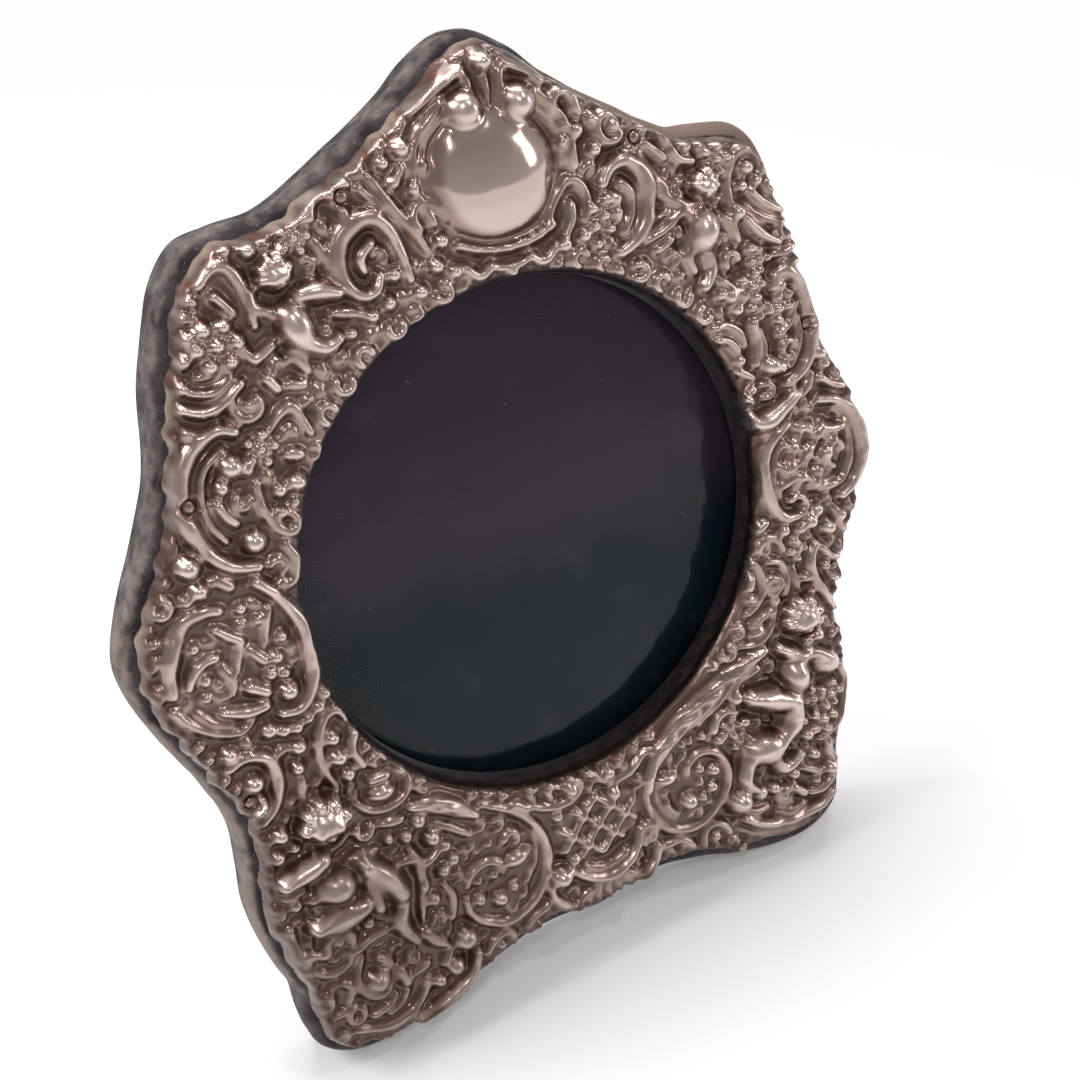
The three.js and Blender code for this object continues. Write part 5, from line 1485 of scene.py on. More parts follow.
@dataclass(frozen=True)
class SilverFront:
    """Stamped and chased silver sheet, pinned over the velvet."""

    axes: Axes
    outline: Outline
    filler: Filler = Filler()
    filler_room: Range = (0.94, 0.2)
    filler_overlap: float = 0.4
    dark_tarnish_and_shade: TarnishAndShade = TarnishAndShade()
    window: float = 50.0
    window_setback: float = 0.5
    window_probe: float = 1.0
    window_bulge: float = 1.2
    window_reach: float = 1.2
    window_reach_at: float = -35.0
    window_fade: float = 0.6
    margin: float = 1.4
    base_margin: float = 2.6
    base_from: Range = (0.72, 0.9)
    right_margin: float = 0.7
    right_from: Range = (0.2, 0.7)
    outer_probe: float = 1.2
    outer_bulge: float = 2.3
    outer_recess: float = 1.5
    outer_fade: float = 1.1
    edge_steps: int = 1440
    edge_blur: float = 0.5
    bulge_height: float = 2.2
    bulge_steps: int = 7
    ragged: Waves = ((67, 0.26, 1.9), (113, 0.2, 0.7), (31, 0.15, 0.2))
    loose: Range = (0.65, 0.35)
    rim_front: float = 2.3
    rim_back: float = 1.14
    lip_back: float = 0.42
    edge_drop: float = 0.6
    edge_drop_reach: float = 1.2
    soil_span: Range = (0.1, 0.9)
    swell: float = 1.0
    relief_scale: float = 1.3
    softness: float = 0.42
    chasing: float = 0.15
    chasing_blur: float = 0.9
    grain_seed: int = 7
    ground_grain: float = 0.03
    grain_blur: float = 0.5
    ground_swell: float = 0.16
    swell_blur: float = 1.6
    dome_place: Range = (-1.0, 68.4)
    dome_radius: float = 11.5
    dome_fade: float = 2.5
    dome_rub: float = 0.55
    dome_smooth: float = 0.8
    dome_clean: float = 0.65
    dome_clean_fade: float = 3.0
    pin_count: int = 8
    pin_inset: float = 5.2
    pin_seat: float = 1.15
    pin_fade: float = 1.9
    pin_proud: float = 0.2

    def edges(self, relief: ReliefMap, angles: np.ndarray) -> list[np.ndarray]:
        """Radii of the sheet's two edges, which bulge round the forms next to them.

        Args:
            relief: the finished relief.
            angles: angles to give the edges at.

        Returns:
            The radius of the window's edge and of the outer edge at each angle.
        """
        turns = np.linspace(-math.pi, math.pi, self.edge_steps, endpoint=False)
        soft = relief.blurred(relief.height, self.edge_blur)
        outer = self.outline.radius(turns) - self.margin_at(turns)
        mean = np.full(2 * self.bulge_steps + 1, 1 / (2 * self.bulge_steps + 1))
        bulges = []
        for radius in (np.full_like(turns, self.window + self.window_probe), outer - self.outer_probe):
            columns = np.rint((radius * np.cos(turns) + relief.half_width) / relief.pitch).astype(int)
            rows = np.rint((radius * np.sin(turns) + relief.half_height) / relief.pitch).astype(int)
            raised = np.clip(soft[rows, columns] / self.bulge_height, 0, 1)
            bulges.append(np.convolve(np.pad(raised, self.bulge_steps, "wrap"), mean, "valid"))
        reach = np.clip(np.cos(turns - math.radians(self.window_reach_at)), 0, 1) ** 2
        inner = self.window + self.window_setback - self.window_bulge * bulges[0] - self.window_reach * reach
        loose = self.loose[0] - self.loose[1] * np.cos(turns)
        outer += loose * (self.outer_bulge * bulges[1] - self.outer_recess + wobble(turns, self.ragged))
        return [np.interp(angles, turns, edge, period=FULL_TURN) for edge in (inner, outer)]

    def margin_at(self, angles: np.ndarray) -> np.ndarray:
        """Velvet left showing at each angle, wider along the base and on the right."""
        right = self.right_margin * smoothstep(np.cos(angles), *self.right_from)
        return self.margin + right + self.base_margin * smoothstep(-np.sin(angles), *self.base_from)

    def pin_places(self) -> np.ndarray:
        """Places of the pins under their heads, in from the sheet's edge."""
        angles = (np.arange(self.pin_count) + 0.5) / self.pin_count * FULL_TURN
        radii = self.outline.radius(angles) - self.pin_inset
        height = np.full(self.pin_count, self.rim_front + self.swell + self.pin_proud)
        return np.stack([radii * np.cos(angles), radii * np.sin(angles), height], axis=1)

    def raised(self) -> ReliefMap:
        """Raises every form of the relief on a grid."""
        relief = ReliefMap()
        for group in RELIEF:
            for form in group:
                form.raise_on(relief)
        radius, angle = np.hypot(relief.x, relief.y), np.arctan2(relief.y, relief.x)
        share, overlap = self.filler_room
        outer_room = share * (self.outline.radius(angle) - self.margin_at(angle) - radius) + overlap
        count = self.filler.crowd(relief, np.minimum(radius - self.window + self.filler_overlap, outer_room))
        LOG.info("silver_sheet: %d fillers between the main forms", count)
        return relief

    def laid_out(self, relief: ReliefMap) -> SheetGrid:
        """Finds the sheet's points on the grid, and how far the edge under them rounds away."""
        radius, angle = np.hypot(relief.x, relief.y), np.arctan2(relief.y, relief.x)
        inner, outer = self.edges(relief, angle)
        nudge = 0.002
        rise = self.outline.radius(angle + nudge) - self.outline.radius(angle - nudge)
        square = 1 / np.sqrt(1 + (rise / (2 * nudge * outer)) ** 2)
        from_inner, from_outer = radius - inner, (outer - radius) * square
        over = np.clip(1 - (self.outline.radius(angle) - radius) * square / EDGE_ROUNDING, 0, 1)
        drop = EDGE_ROUNDING * (1 - np.sqrt(1 - over**2))
        from_edge = np.minimum(from_inner, from_outer)
        edge = np.where(from_inner < from_outer, inner, outer)
        snap = np.abs(from_edge) < relief.pitch / 2
        scale = np.where(snap, edge / np.maximum(radius, 1), 1.0)
        kept = from_edge > -relief.pitch / 2
        return SheetGrid(relief.x * scale, relief.y * scale, from_inner, from_outer, drop, kept)

    def build(self) -> Mesh:
        """Builds the sheet: its front from the grid, snapped to both edges, with a rim and a back.

        Returns:
            The closed mesh, with what its finish reads kept on its points.
        """
        relief = self.raised()
        grid = self.laid_out(relief)
        x, y, from_outer = grid.x, grid.y, grid.from_outer
        soft = np.maximum(relief.blurred(relief.height, self.softness), 0)
        chased = soft + self.chasing * (soft - relief.blurred(soft, self.chasing_blur))
        # Tarnishing and painted shade together, and where the silver is rubbed bright
        tarnish_and_painted_shade, rub = self.dark_tarnish_and_shade.fields(relief, soft, grid)
        from_dome = np.hypot(x - self.dome_place[0], y - self.dome_place[1])
        polish = 1 - smoothstep(from_dome, self.dome_radius - self.dome_fade, self.dome_radius)
        clean = 1 - smoothstep(from_dome, self.dome_radius, self.dome_radius + self.dome_clean_fade)
        noise = np.random.default_rng(self.grain_seed).normal(size=x.shape)
        fine, broad = relief.blurred(noise, self.grain_blur), relief.blurred(noise, self.swell_blur)
        grain = self.ground_grain * fine / fine.std() + self.ground_swell * broad / broad.std()
        grain *= 1 - self.dome_smooth * polish
        from_pin = np.min([np.hypot(x - px, y - py) for px, py, _ in self.pin_places()], axis=0)
        clear = smoothstep(from_pin, self.pin_seat, self.pin_fade)
        fade = smoothstep(grid.from_inner, 0, self.window_fade) * smoothstep(from_outer, 0, self.outer_fade)
        edge_drop = self.edge_drop * (1 - smoothstep(from_outer, 0, self.edge_drop_reach))
        rim = self.rim_front - grid.drop - edge_drop
        z = rim + fade * (self.swell + clear * (self.relief_scale * chased + grain))
        base = np.where(grid.from_inner < from_outer, self.lip_back, self.rim_back - grid.drop)
        values = {
            "tarnish_and_painted_shade": tarnish_and_painted_shade * (1 - self.dome_clean * clean),
            "rub": rub * (1 - polish) + self.dome_rub * polish,
            "soil": 1 - smoothstep(from_outer, *self.soil_span),
            "polish": polish,
        }
        return self.closed_mesh(np.stack([x, y, z]), base, grid.kept, values)

    def closed_mesh(self, front: np.ndarray, base: np.ndarray, kept: np.ndarray, values: dict) -> Mesh:
        """Joins the kept points of a grid into a closed sheet.

        Args:
            front: x, y and z of the grid's points.
            base: z of the sheet's back under each point.
            kept: points that belong to the sheet.
            values: fields to keep on the points.

        Returns:
            The mesh.
        """
        number = np.arange(base.size).reshape(base.shape)
        corners = [np.s_[:-1, :-1], np.s_[:-1, 1:], np.s_[1:, 1:], np.s_[1:, :-1]]
        stacks = (np.stack([grid[c] for c in corners], axis=-1) for grid in (number, kept))
        cells, inside = (stack.reshape(-1, 4) for stack in stacks)
        quads = cells[inside.all(axis=1)]
        three = inside.sum(axis=1) == 3
        triangles = cells[three][inside[three]].reshape(-1, 3)
        used = np.unique(np.concatenate([quads.ravel(), triangles.ravel()]))
        renumber = np.zeros(base.size, dtype=int)
        renumber[used] = np.arange(len(used))
        quads, triangles = renumber[quads], renumber[triangles]
        top = front.reshape(3, -1)[:, used].T

        sides = [faces[:, [k, (k + 1) % n]] for faces, n in ((quads, 4), (triangles, 3)) for k in range(n)]
        sides = np.concatenate(sides)
        keys = np.sort(sides, axis=1) @ (len(used), 1)
        _, first, counts = np.unique(keys, return_index=True, return_counts=True)
        border = sides[first[counts == 1]]
        loop = np.unique(border)
        low = np.zeros(len(used), dtype=int)
        low[loop] = len(used) + np.arange(len(loop))
        bottom = top[loop].copy()
        bottom[:, 2] = base.ravel()[used][loop]
        rim = np.stack([border[:, 1], border[:, 0], low[border[:, 0]], low[border[:, 1]]], axis=1)

        faces = quads.tolist() + triangles.tolist() + rim.tolist()
        mesh = mesh_from("silver_sheet", self.axes.place(np.vstack([top, bottom])), faces)
        with reworked(mesh, mesh) as work:
            hole = [edge for edge in work.edges if edge.is_boundary]
            bmesh.ops.triangle_fill(work, edges=hole, normal=-self.axes.out, use_beauty=True)
        mesh.shade_smooth()
        for name, field in values.items():
            flat = field.ravel()[used]
            store(mesh, name, np.concatenate([flat, flat[loop]]))
        return mesh

    def dress(self, silver: Material) -> None:
        """Adds the sheet to the frame."""
        add_piece(self.build(), silver, Body.FRAME, ["silver_front"])


# Fasteners by geometry nodes


@dataclass(frozen=True)
class Fasteners:
    """A set of turned fasteners with domed heads, one at each place.

    Each step of a head is a share of its height and how far the step draws in.
    """

    name: str
    head_radius: float
    head_height: float
    shank_radius: float
    shank_length: float
    slot_width: float = 0.0
    slot_depth: float = 0.0
    sides: int = 20
    head_steps: tuple[Range, ...] = ((0.25, 1.0), (0.3, 0.9), (0.25, 0.72), (0.15, 0.5), (0.05, 0.3))
    crease: float = 40.0

    def sizes(self) -> dict[str, float]:
        """Lengths that the node tree is given, in metres."""
        names = ("head_radius", "head_height", "shank_radius", "shank_length", "slot_width", "slot_depth")
        return {name.replace("_", " ").title(): getattr(self, name) * MM for name in names}

    def tree(self) -> bpy.types.NodeTree:
        """Builds the node tree: a turned pin, cut by a slot if it has one, set on each point."""
        tree = bpy.data.node_groups.new(f"{self.name}_tree", "GeometryNodeTree")
        kinds = {"Places": "Geometry", **dict.fromkeys(self.sizes(), "Float")}
        kinds.update({"Sides": "Int", "Turn": "Vector", "Finish": "Material"})
        for label, kind in kinds.items():
            tree.interface.new_socket(label, in_out="INPUT", socket_type=f"NodeSocket{kind}")
        tree.interface.new_socket("Pieces", in_out="OUTPUT", socket_type="NodeSocketGeometry")
        nodes = Nodes(tree)
        given = nodes.add("NodeGroupInput").outputs
        shape = self.turned_pin(nodes, given)
        if self.slot_depth:
            shape = self.slotted(nodes, given, shape)
        on_points = {"Points": given["Places"], "Instance": shape, "Rotation": given["Turn"]}
        placed = nodes.add("GeometryNodeInstanceOnPoints", on_points).outputs[0]
        real = nodes.add("GeometryNodeRealizeInstances", {"Geometry": placed}).outputs[0]
        finished = nodes.add("GeometryNodeSetMaterial", {"Geometry": real, "Material": given["Finish"]})
        nodes.add("NodeGroupOutput", {0: finished.outputs[0]})
        return tree

    def turned_pin(self, nodes: Nodes, given: bpy.types.NodeOutputs) -> Socket:
        """Adds the shank, its foot and the stepped head, with the head's underside at the origin."""
        disc_inputs = {"Vertices": given["Sides"], "Radius": given["Shank Radius"]}
        disc = nodes.add("GeometryNodeMeshCircle", disc_inputs, fill_type="NGON").outputs[0]
        shank = {"Mesh": disc, "Offset Scale": given["Shank Length"], "Individual": False}
        step = nodes.add("GeometryNodeExtrudeMesh", shank)
        shape, top = step.outputs["Mesh"], step.outputs["Top"]
        spread = nodes.math("DIVIDE", given["Head Radius"], given["Shank Radius"])
        for share, draw in ((0.0, spread), *self.head_steps):
            rise = nodes.math("MULTIPLY", given["Head Height"], share)
            lift = {"Mesh": shape, "Selection": top, "Offset Scale": rise, "Individual": False}
            step = nodes.add("GeometryNodeExtrudeMesh", lift)
            top = step.outputs["Top"]
            ring = {"Geometry": step.outputs["Mesh"], "Selection": top, "Scale": draw}
            shape = nodes.add("GeometryNodeScaleElements", ring).outputs[0]
        foot = nodes.add("GeometryNodeFlipFaces", {"Mesh": disc}).outputs[0]
        whole = nodes.add("GeometryNodeJoinGeometry", {0: shape})
        nodes.set(whole.inputs[0], foot)
        merge = {"Geometry": whole.outputs[0], "Distance": WELD}
        shape = nodes.add("GeometryNodeMergeByDistance", merge).outputs[0]
        return self.lifted(nodes, shape, nodes.math("MULTIPLY", given["Shank Length"], -1.0))

    def slotted(self, nodes: Nodes, given: bpy.types.NodeOutputs, shape: Socket) -> Socket:
        """Cuts a slot across the head with a long bar."""
        long = nodes.math("MULTIPLY", given["Head Radius"], 3.0)
        deep = nodes.math("MULTIPLY", given["Slot Depth"], 2.0)
        size = nodes.add("ShaderNodeCombineXYZ", {"X": long, "Y": given["Slot Width"], "Z": deep}).outputs[0]
        bar = nodes.add("GeometryNodeMeshCube", {"Size": size}).outputs["Mesh"]
        cut = {"Mesh 1": shape, "Mesh 2": self.lifted(nodes, bar, given["Head Height"])}
        return nodes.add("GeometryNodeMeshBoolean", cut, operation="DIFFERENCE").outputs[0]

    def lifted(self, nodes: Nodes, shape: Socket, height: Socket) -> Socket:
        """Moves a shape along its axis."""
        offset = nodes.add("ShaderNodeCombineXYZ", {"Z": height}).outputs[0]
        return nodes.add("GeometryNodeTransform", {"Geometry": shape, "Translation": offset}).outputs[0]

    def build(self, axes: Axes, places: np.ndarray, material: Material, head_out: bool = False) -> Mesh:
        """Sets the fasteners in place.

        Args:
            axes: axes that the places are given on.
            places: rows of x, y, z under the heads, in millimetres.
            material: their finish.
            head_out: whether the heads point along the axes' out, or against it.

        Returns:
            One plain mesh of all of them.
        """
        host = add_object(f"{self.name}_host", mesh_from(f"{self.name}_places", axes.place(places), []))
        turn = axes.matrix().to_euler()
        if not head_out:
            turn.rotate_axis("X", math.pi)
        modifier = host.modifiers.new("fasteners", "NODES")
        modifier.node_group = self.tree()
        values = {**self.sizes(), "Sides": self.sides, "Turn": tuple(turn), "Finish": material}
        for item in modifier.node_group.interface.items_tree:
            if item.name in values:
                modifier[item.identifier] = values[item.name]
        graph = bpy.context.evaluated_depsgraph_get()
        mesh = bpy.data.meshes.new_from_object(host.evaluated_get(graph))
        host.modifiers.remove(modifier)
        bpy.data.objects.remove(host)
        mesh.name = self.name
        shade(mesh, self.crease)
        return mesh


# Sub-assemblies


@dataclass(frozen=True)
class VelvetBoard:
    """Board, and the velvet wrapped round it."""

    axes: Axes
    outline: Outline
    thickness: float = 11.0
    turn_in: float = 8.2
    door_seat: float = 59.3
    seat_ease: Range = (0.4, 0.3)
    sectors: int = 480
    steps: int = 12
    wear_and_shade_from: Range = (0.1, 0.32)
    wear_to: Range = (0.46, 0.72)
    ripple: float = 0.18
    uneven: Waves = ((9, 0.5, 0.2), (23, 0.3, 1.3), (47, 0.25, 2.2), (71, 0.2, 0.5))
    slack: tuple[tuple[float, float, float], ...] = ((5.45, 0.3, 2.8), (0.82, 0.13, 1.6))
    upper_wear: float = 0.6
    upper_from: Range = (-0.45, 0.25)
    # Span along the base where the velvet is darkened as painted shade
    base_from: Range = (0.7, 0.85)
    fold_shade: float = 1.6
    bare_from: Range = (0.62, 0.86)
    bare_to: Range = (1.2, 1.56)
    bare_span: Range = (0.05, 0.4)

    def section(self, angles: np.ndarray) -> list[np.ndarray]:
        """Section of the velvet at each angle.

        Args:
            angles: angles of the sectors.

        Returns:
            Radii, depths and how worn each point looks, held at nothing in the fold by the silver as painted
            shade, one row a sector.
        """
        edge = self.outline.radius(angles)[:, None]
        low, high = -self.thickness - GLUE_GAP, GLUE_GAP
        back, front = low - VELVET, high + VELVET
        corner = quarter_round(EDGE_ROUNDING, self.steps)
        rim = np.concatenate([(0, front) - corner, (0, back) + corner[:, ::-1] * (-1, 1)])
        inner_rim = rim[::-1] * ((EDGE_ROUNDING - VELVET) / EDGE_ROUNDING, 1) - (VELVET, 0)
        seat, start = np.full_like(edge, self.door_seat), edge - self.turn_in
        ease_out, ease_up = self.seat_ease
        outside, inside = edge + rim[:, 0], edge + inner_rim[:, 0]
        radii = np.hstack([start, outside, seat + ease_out, seat, seat, inside, start])
        inner_depths = np.clip(inner_rim[:, 1], low, high)
        depths = np.concatenate([[front], rim[:, 1], [back, back + ease_up, low], inner_depths, [high]])
        # How worn the rim looks: nothing at the fold by the silver, as painted shade, rising to grey on the
        # crest
        wear_and_shade = np.zeros(len(depths))
        around_rim = np.linspace(0, 1, len(rim))
        spared = smoothstep(around_rim, *self.wear_to)
        wear_and_shade[1 : 1 + len(rim)] = smoothstep(around_rim, *self.wear_and_shade_from) * (1 - spared)
        return [radii, *(np.tile(row, (len(angles), 1)) for row in (depths, wear_and_shade))]

    def build(self) -> Mesh:
        """Builds the velvet, a little uneven as glued cloth is, and pressed flat at the feet."""
        angles = turns_round(self.sectors)
        radii, depths, wear_and_shade = self.section(angles)
        slack = sum(size * np.exp(-(((angles - at) / reach) ** 2)) for at, reach, size in self.slack)
        uneven = slack - self.ripple * (1 + wobble(angles, self.uneven))
        mesh = ring_mesh("velvet_cover_cloth", self.axes, radii + uneven[:, None] * wear_and_shade, depths)
        # Painted shade: along the base the velvet is kept unworn and near black, as in the shadow under the
        # frame
        low = smoothstep(-np.sin(angles), *self.base_from)[:, None]
        lower = smoothstep(-np.sin(angles), *self.upper_from)[:, None]
        upper = self.upper_wear + (1 - self.upper_wear) * lower
        store(mesh, "wear_and_shade", ((wear_and_shade * (1 - low)) ** self.fold_shade * upper).ravel())
        share = smoothstep(angles, *self.bare_from) * (1 - smoothstep(angles, *self.bare_to))
        store(mesh, "bare", (share[:, None] * smoothstep(wear_and_shade, *self.bare_span)).ravel())
        rest_on_floor(mesh)
        return mesh

    def dress(self, velvet: Material, wood: Material) -> None:
        """Adds the velvet and finishes the board."""
        add_piece(self.build(), velvet, Body.FRAME, ["velvet_cover"])
        dress_node("backboard", wood)


@dataclass(frozen=True)
class Window:
    """Lining, bevelled glass and the cards behind it."""

    axes: Axes
    lining_inner: float = 49.6
    lining_outer: float = 50.7
    lining_front: float = 0.3
    lining_back: float = -4.4
    lining_round: float = 0.35
    lining_bend: float = 0.105
    glass_radius: float = 54.0
    glass_front: float = -4.7
    glass_back: float = -6.7
    bevel_width: float = 6.0
    bevel_drop: float = 0.8

    def lining(self) -> Mesh:
        """Builds the strip, with its front edge rolled over."""
        inner, outer, front, back = self.lining_inner, self.lining_outer, self.lining_front, self.lining_back
        eased = [(inner, front - self.lining_round), (inner + self.lining_bend, front - self.lining_bend)]
        section = [(inner, back), *eased, (inner + self.lining_round, front), (outer, front), (outer, back)]
        return turned_mesh("window_lining_strip", self.axes, section)

    def glass(self) -> Mesh:
        """Builds the glass with its bevel."""
        edge, front, back = self.glass_radius, self.glass_front, self.glass_back
        bevel = [(edge - self.bevel_width, front), (edge, front - self.bevel_drop)]
        return turned_mesh("window_glass", self.axes, [(0, front), *bevel, (edge, back), (0, back)])

    def dress(self) -> None:
        """Adds the lining and the glass, and finishes the cards."""
        add_piece(self.lining(), LINING.material(), Body.FRAME, ["window_lining"])
        add_piece(self.glass(), GLASS.material(), Body.FRAME, ["glass"])
        dress_node("photo_card", DARK_CARD.material())
        dress_node("packing_card", STRAWBOARD.material())


@dataclass(frozen=True)
class BackDoor:
    """Round door in the back, with the fixed half of the strut's hinge."""

    axes: Axes
    radius: float = 58.9
    front: float = -8.7
    back: float = -12.1
    rounding: float = 1.0
    steps: int = 6
    middle_share: float = 0.6
    wear_and_shade: float = 0.25
    leaf_rounding: float = 0.16

    def velvet_mesh(self) -> Mesh:
        """Builds the velvet over the door's back and edge."""
        inside, lining = self.radius - VELVET, self.back + VELVET
        corner = (self.radius, self.back) + quarter_round(self.rounding, self.steps)[:, ::-1] * (-1, 1)
        outer = [(inside, self.front), (self.radius, self.front), *corner]
        flat = [(self.middle_share * self.radius, self.back), (0, self.back)]
        mesh = turned_mesh("door_velvet_cloth", self.axes, [*outer, *flat, (0, lining), (inside, lining)])
        store(mesh, "wear_and_shade", np.full(len(mesh.vertices), self.wear_and_shade))
        return mesh

    def dress(self, velvet: Material, wood: Material, brass: Material) -> None:
        """Adds the door's velvet and hinge leaf, and finishes its panel and pin."""
        add_piece(self.velvet_mesh(), velvet, Body.DOOR, ["door_velvet"])
        leaf = eased_copy("hinge_door_leaf", "door_leaf_plate", self.leaf_rounding)
        add_piece(leaf, brass, Body.DOOR, ["hinge_door_leaf"])
        dress_node("door_panel", wood)
        dress_node("hinge_pin", brass)


@dataclass(frozen=True)
class Strut:
    """Easel strut: a velvet sleeve over a tapered board, with the moving half of the hinge."""

    axes: Axes
    top_width: float = 34.0
    foot_width: float = 50.0
    top: float = -2.4
    inner: float = 0.6
    outer: float = -5.2
    arch_width: float = 16.0
    arch_height: float = 4.0
    arch_steps: int = 20
    rounding: float = 0.9
    rounding_steps: int = 4
    sharp: float = 40.0
    crease: float = 50.0
    wear_and_shade: float = 0.3
    leaf_rounding: float = 0.16

    def floor_height(self, z: float) -> float:
        """Place along the strut where a depth of it meets the floor."""
        return -(self.axes.origin.z / MM + self.axes.out.z * z) / self.axes.up.z

    def loop(self, z: float) -> np.ndarray:
        """Outline of the strut at one depth, from the top left corner round by the foot."""
        foot, middle = self.floor_height(z), self.floor_height(0.0)
        half_top = self.top_width / 2
        half_foot = half_top + (self.foot_width - self.top_width) / 2 * (foot / middle)
        turns = np.linspace(math.pi, 0, self.arch_steps)
        arch_x = self.arch_width / 2 * np.cos(turns)
        arch_y = foot + (middle + self.arch_height - foot) * np.sin(turns)
        left, right = [(-half_top, self.top), (-half_foot, foot)], [(half_foot, foot), (half_top, self.top)]
        return np.array([(x, y, z) for x, y in (*left, *zip(arch_x, arch_y), *right)])

    def velvet_mesh(self) -> Mesh:
        """Builds the sleeve: a rounded shell, open at the hinge end."""
        near, far = self.loop(self.inner), self.loop(self.outer)
        count = len(near)
        faces = [list(range(count))[::-1], list(range(count, 2 * count))]
        faces += [[k, k + 1, k + 1 + count, k + count] for k in range(count - 1)]
        mesh = mesh_from("strut_velvet_sleeve", self.axes.place(np.vstack([near, far])), faces)
        with reworked(mesh, mesh) as work:
            bmesh.ops.recalc_face_normals(work, faces=work.faces)
            round_edges(work, self.sharp, self.rounding, self.rounding_steps)
            split_wide_faces(work)
            bmesh.ops.solidify(work, geom=work.faces[:], thickness=VELVET * MM)
        shade(mesh, self.crease)
        store(mesh, "wear_and_shade", np.full(len(mesh.vertices), self.wear_and_shade))
        rest_on_floor(mesh)
        return mesh

    def dress(self, velvet: Material, wood: Material, brass: Material) -> None:
        """Adds the sleeve and hinge leaf, and finishes the board."""
        add_piece(self.velvet_mesh(), velvet, Body.STRUT, ["strut_velvet"])
        leaf = eased_copy("hinge_strut_leaf", "strut_leaf_plate", self.leaf_rounding)
        add_piece(leaf, brass, Body.STRUT, ["hinge_strut_leaf"])
        dress_node("strut_board", wood)


@dataclass(frozen=True)
class Hardware:
    """Pins, rivets, screws and turn clips."""

    face: Axes
    strut: Axes
    pins: Fasteners = Fasteners("silver_pins", 1.1, 0.6, 0.45, 6.3)
    door_rivets: Fasteners = Fasteners("door_rivets", 1.5, 0.7, 0.8, 4.9)
    strut_rivets: Fasteners = Fasteners("strut_rivets", 1.5, 0.7, 0.8, 7.2)
    screws: Fasteners = Fasteners("clip_screws", 2.3, 1.2, 1.0, 7.6, 0.6, 0.6, 28)
    rivet_row: tuple[float, ...] = (-10.0, 0.0, 10.0)
    rivet_height: float = 7.0
    door_leaf: float = 0.6
    strut_leaf: float = -5.5
    clip_thickness: float = 1.2
    clip_rounding: float = 0.2
    corners: tuple[str, ...] = ("upper_right", "upper_left", "lower_left", "lower_right")

    def dress_pins(self, places: np.ndarray, silver: Material) -> None:
        """Adds the pins that hold the silver."""
        mesh = self.pins.build(self.face, places, silver, head_out=True)
        names = [f"silver_pin_{k + 1}" for k in range(len(places))]
        add_piece(mesh, silver, Body.FRAME, names)

    def dress_rivets(self, brass: Material) -> None:
        """Adds the hinge's rivets on the door and on the strut."""
        hinge = self.face.local(self.strut.origin)
        on_door = [(x, hinge.y + self.rivet_height, hinge.z + self.door_leaf) for x in self.rivet_row]
        on_strut = [(x, -self.rivet_height, self.strut_leaf) for x in self.rivet_row]
        door = self.door_rivets.build(self.face, np.array(on_door), brass)
        strut = self.strut_rivets.build(self.strut, np.array(on_strut), brass)
        add_piece(door, brass, Body.DOOR, [f"door_rivet_{k}" for k in (1, 2, 3)])
        add_piece(strut, brass, Body.STRUT, [f"strut_rivet_{k}" for k in (1, 2, 3)])

    def dress_clips(self, brass: Material) -> None:
        """Adds the turn clips and their slotted screws."""
        places = []
        for corner in self.corners:
            pivot = self.face.local(joint_named(f"clip_turn_{corner}")["pos_m"])
            places.append((pivot.x, pivot.y, pivot.z - self.clip_thickness))
            clip = eased_copy(f"turn_clip_{corner}", f"turn_clip_{corner}_plate", self.clip_rounding)
            add_piece(clip, brass, Body(f"clip_{corner}"), [f"turn_clip_{corner}"])
        screws = self.screws.build(self.face, np.array(places), brass)
        add_piece(screws, brass, Body.FRAME, [f"clip_screw_{corner}" for corner in self.corners])


# Floor, light and camera


@dataclass(frozen=True)
class Lamp:
    """A soft box that faces the object."""

    name: str
    place: Point
    size: Range
    power: float
    color: Color
    aim: Point = (0, 0, 0.09)

    def build(self) -> None:
        """Adds the lamp."""
        data = bpy.data.lights.new(self.name, "AREA")
        data.shape, data.size, data.size_y = "RECTANGLE", *self.size
        data.energy, data.color = self.power, self.color
        lamp = add_object(self.name, data)
        lamp.location = self.place
        lamp.rotation_euler = (Vector(self.aim) - Vector(self.place)).to_track_quat("-Z", "Y").to_euler()


LAMPS = (
    Lamp("key", (-0.75, 0.25, 0.85), (0.50, 0.40), 6.5, (0.98, 0.98, 1.0)),
    Lamp("top", (0.10, 0.35, 1.05), (0.70, 0.35), 5.0, (0.98, 0.98, 1.0)),
    Lamp("side", (0.80, -0.40, 0.45), (0.20, 0.45), 1.4, (1.0, 0.95, 0.93)),
    Lamp("spot_1", (-0.35, -0.45, 0.80), (0.07, 0.07), 0.9, (1.0, 0.97, 0.97)),
    Lamp("spot_2", (0.28, -0.30, 0.95), (0.07, 0.07), 0.9, (1.0, 0.97, 0.97)),
    Lamp("spot_3", (-0.15, 0.35, 0.85), (0.07, 0.07), 0.9, (1.0, 0.97, 0.97)),
)


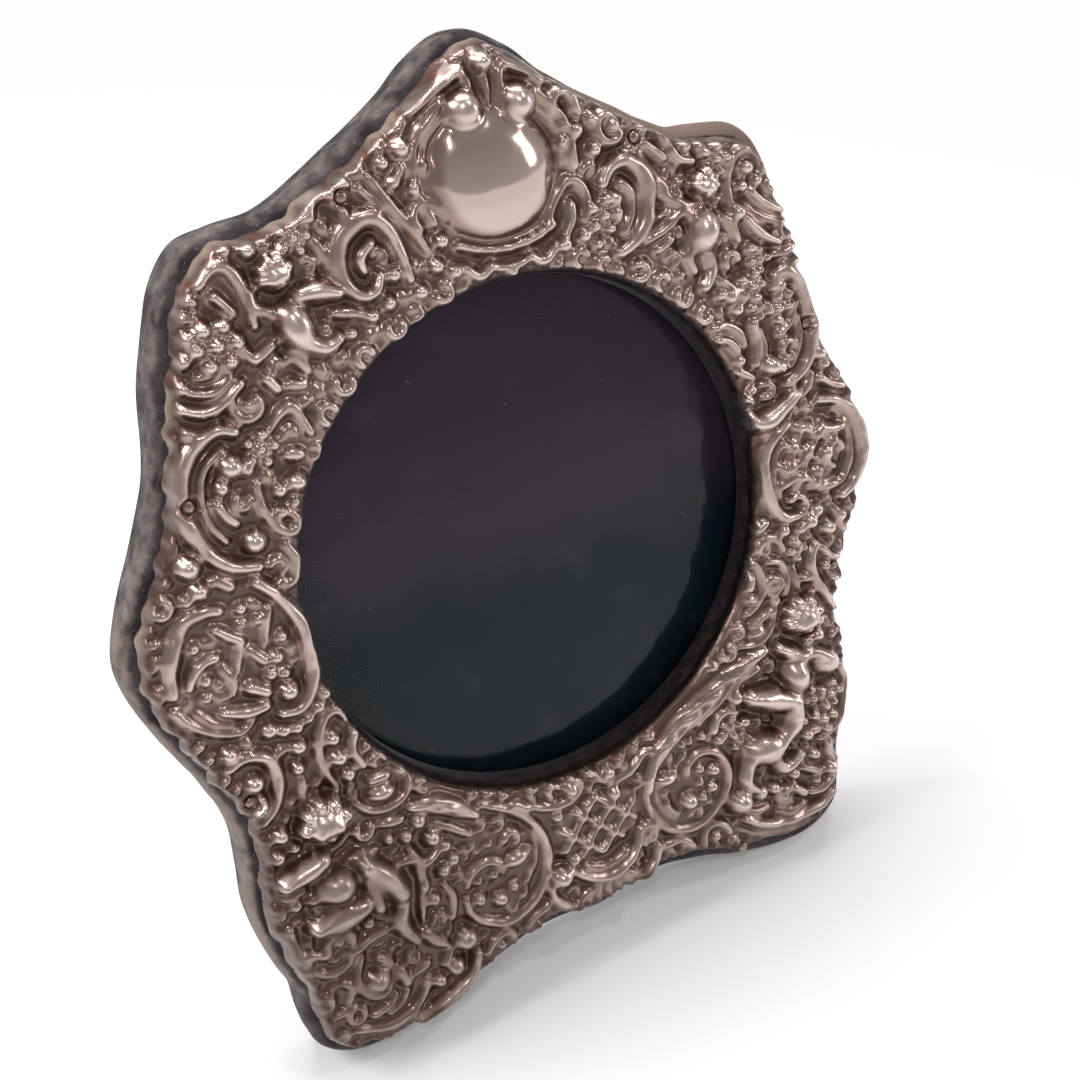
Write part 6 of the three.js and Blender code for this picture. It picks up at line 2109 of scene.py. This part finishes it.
@dataclass(frozen=True)
class Studio:
    """Pale floor, soft light and the camera, in metres."""

    camera_place: Point = (-0.10989, -0.19731, 0.23426)
    camera_aim: Point = (-0.00247, -0.02112, 0.09185)
    camera_roll: float = -0.238
    lens: float = 44.389
    sensor: float = 36.0
    clip: Range = (0.01, 20.0)
    floor_size: float = 6.0
    floor_drop: float = 0.0002
    floor_color: Color = (0.95, 0.95, 0.95)
    glow_color: Color = (1.0, 1.0, 1.0)
    glow_span: Range = (0.22, 0.85)
    glow_share: Range = (0.14, 0.97)
    wall: Color = (0.53, 0.50, 0.50)
    ceiling: Color = (0.34, 0.325, 0.33)
    room_span: Range = (0.02, 0.6)

    def camera(self) -> None:
        """Sets the camera where the photograph was taken from."""
        data = bpy.data.cameras.new("camera")
        data.lens, data.sensor_width, data.sensor_height = self.lens, self.sensor, self.sensor
        data.clip_start, data.clip_end = self.clip
        place = Vector(self.camera_place)
        back = (place - Vector(self.camera_aim)).normalized()
        right = Vector((0, 0, 1)).cross(back).normalized()
        level = Matrix((right, back.cross(right), back)).transposed().to_4x4()
        roll = Matrix.Rotation(math.radians(self.camera_roll), 4, "Z")
        camera = add_object("camera", data)
        camera.matrix_world = Matrix.Translation(place) @ level @ roll
        bpy.context.scene.camera = camera

    def floor(self) -> None:
        """Adds the pale floor, which keeps the shadow and glows where it is seen from afar."""
        half = self.floor_size / 2
        square = ((-half, -half), (half, -half), (half, half), (-half, half))
        corners = [(x, y, -self.floor_drop) for x, y in square]
        mesh = mesh_from("floor", corners, [(0, 1, 2, 3)])
        add_object("floor", mesh)
        graph = Graph("pale_floor")
        path = graph.add("ShaderNodeLightPath").outputs
        seen = graph.math("MAXIMUM", path["Is Camera Ray"], path["Is Glossy Ray"])
        seen = graph.math("MAXIMUM", seen, path["Is Transmission Ray"])
        away = graph.add("ShaderNodeVectorMath", {0: graph.coords}, operation="LENGTH").outputs["Value"]
        share = graph.math("MULTIPLY", seen, graph.ease(away, self.glow_span, self.glow_share))
        matt = graph.add("ShaderNodeBsdfDiffuse", {"Color": self.floor_color}).outputs[0]
        glow = graph.add("ShaderNodeEmission", {"Color": self.glow_color, "Strength": 1.0}).outputs[0]
        mesh.materials.append(graph.end(graph.add("ShaderNodeMixShader", {0: share, 1: matt, 2: glow})))

    def world(self) -> None:
        """Fills the room with an even light, a little dimmer overhead."""
        world = bpy.data.worlds.new("studio")
        bpy.context.scene.world = world
        world.use_nodes = True
        nodes = Nodes(world.node_tree)
        coords = nodes.add("ShaderNodeTexCoord").outputs["Generated"]
        height = nodes.add("ShaderNodeSeparateXYZ", {0: coords}).outputs["Z"]
        ramp = nodes.add("ShaderNodeValToRGB", {"Fac": height})
        for stop, place, color in zip(ramp.color_ramp.elements, self.room_span, (self.wall, self.ceiling)):
            stop.position, stop.color = place, (*color, 1)
        room = nodes.add("ShaderNodeBackground", {"Color": ramp.outputs[0], "Strength": 1.0})
        nodes.add("ShaderNodeOutputWorld", {"Surface": room.outputs[0]})

    def build(self) -> None:
        """Builds the whole studio."""
        self.camera()
        self.floor()
        self.world()
        for lamp in LAMPS:
            lamp.build()
        bpy.context.scene.view_settings.view_transform = "Standard"


def face_axes() -> Axes:
    """Axes of the leaning face, from the door's slide and the card behind the window."""
    out = -Vector(joint_named("back_door_lift")["axis"]).normalized()
    up = out.cross(Vector((1, 0, 0)))
    card_depth = 7.2 * MM
    low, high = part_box("photo_card")
    return Axes((low + high) / 2 + out * card_depth, up, out)


def main() -> None:
    """Builds every sub-assembly and the studio."""
    logging.basicConfig(level=logging.INFO, format="%(name)s %(message)s")
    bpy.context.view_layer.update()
    Studio().build()
    face, outline = face_axes(), Outline()
    fold = joint_named("strut_fold")
    strut_axes = face.swung(fold["pos_m"], -fold["range_deg"][0])
    silver, velvet = SilverFinish().material(), VelvetFinish().material()
    wood, brass = WoodFinish().material(), BRASS.material()
    sheet = SilverFront(face, outline)
    sheet.dress(silver)
    VelvetBoard(face, outline).dress(velvet, wood)
    Window(face).dress()
    BackDoor(face).dress(velvet, wood, brass)
    Strut(strut_axes).dress(velvet, wood, brass)
    hardware = Hardware(face, strut_axes)
    hardware.dress_pins(sheet.pin_places(), silver)
    hardware.dress_rivets(brass)
    hardware.dress_clips(brass)


if __name__ == "__main__":
    main()
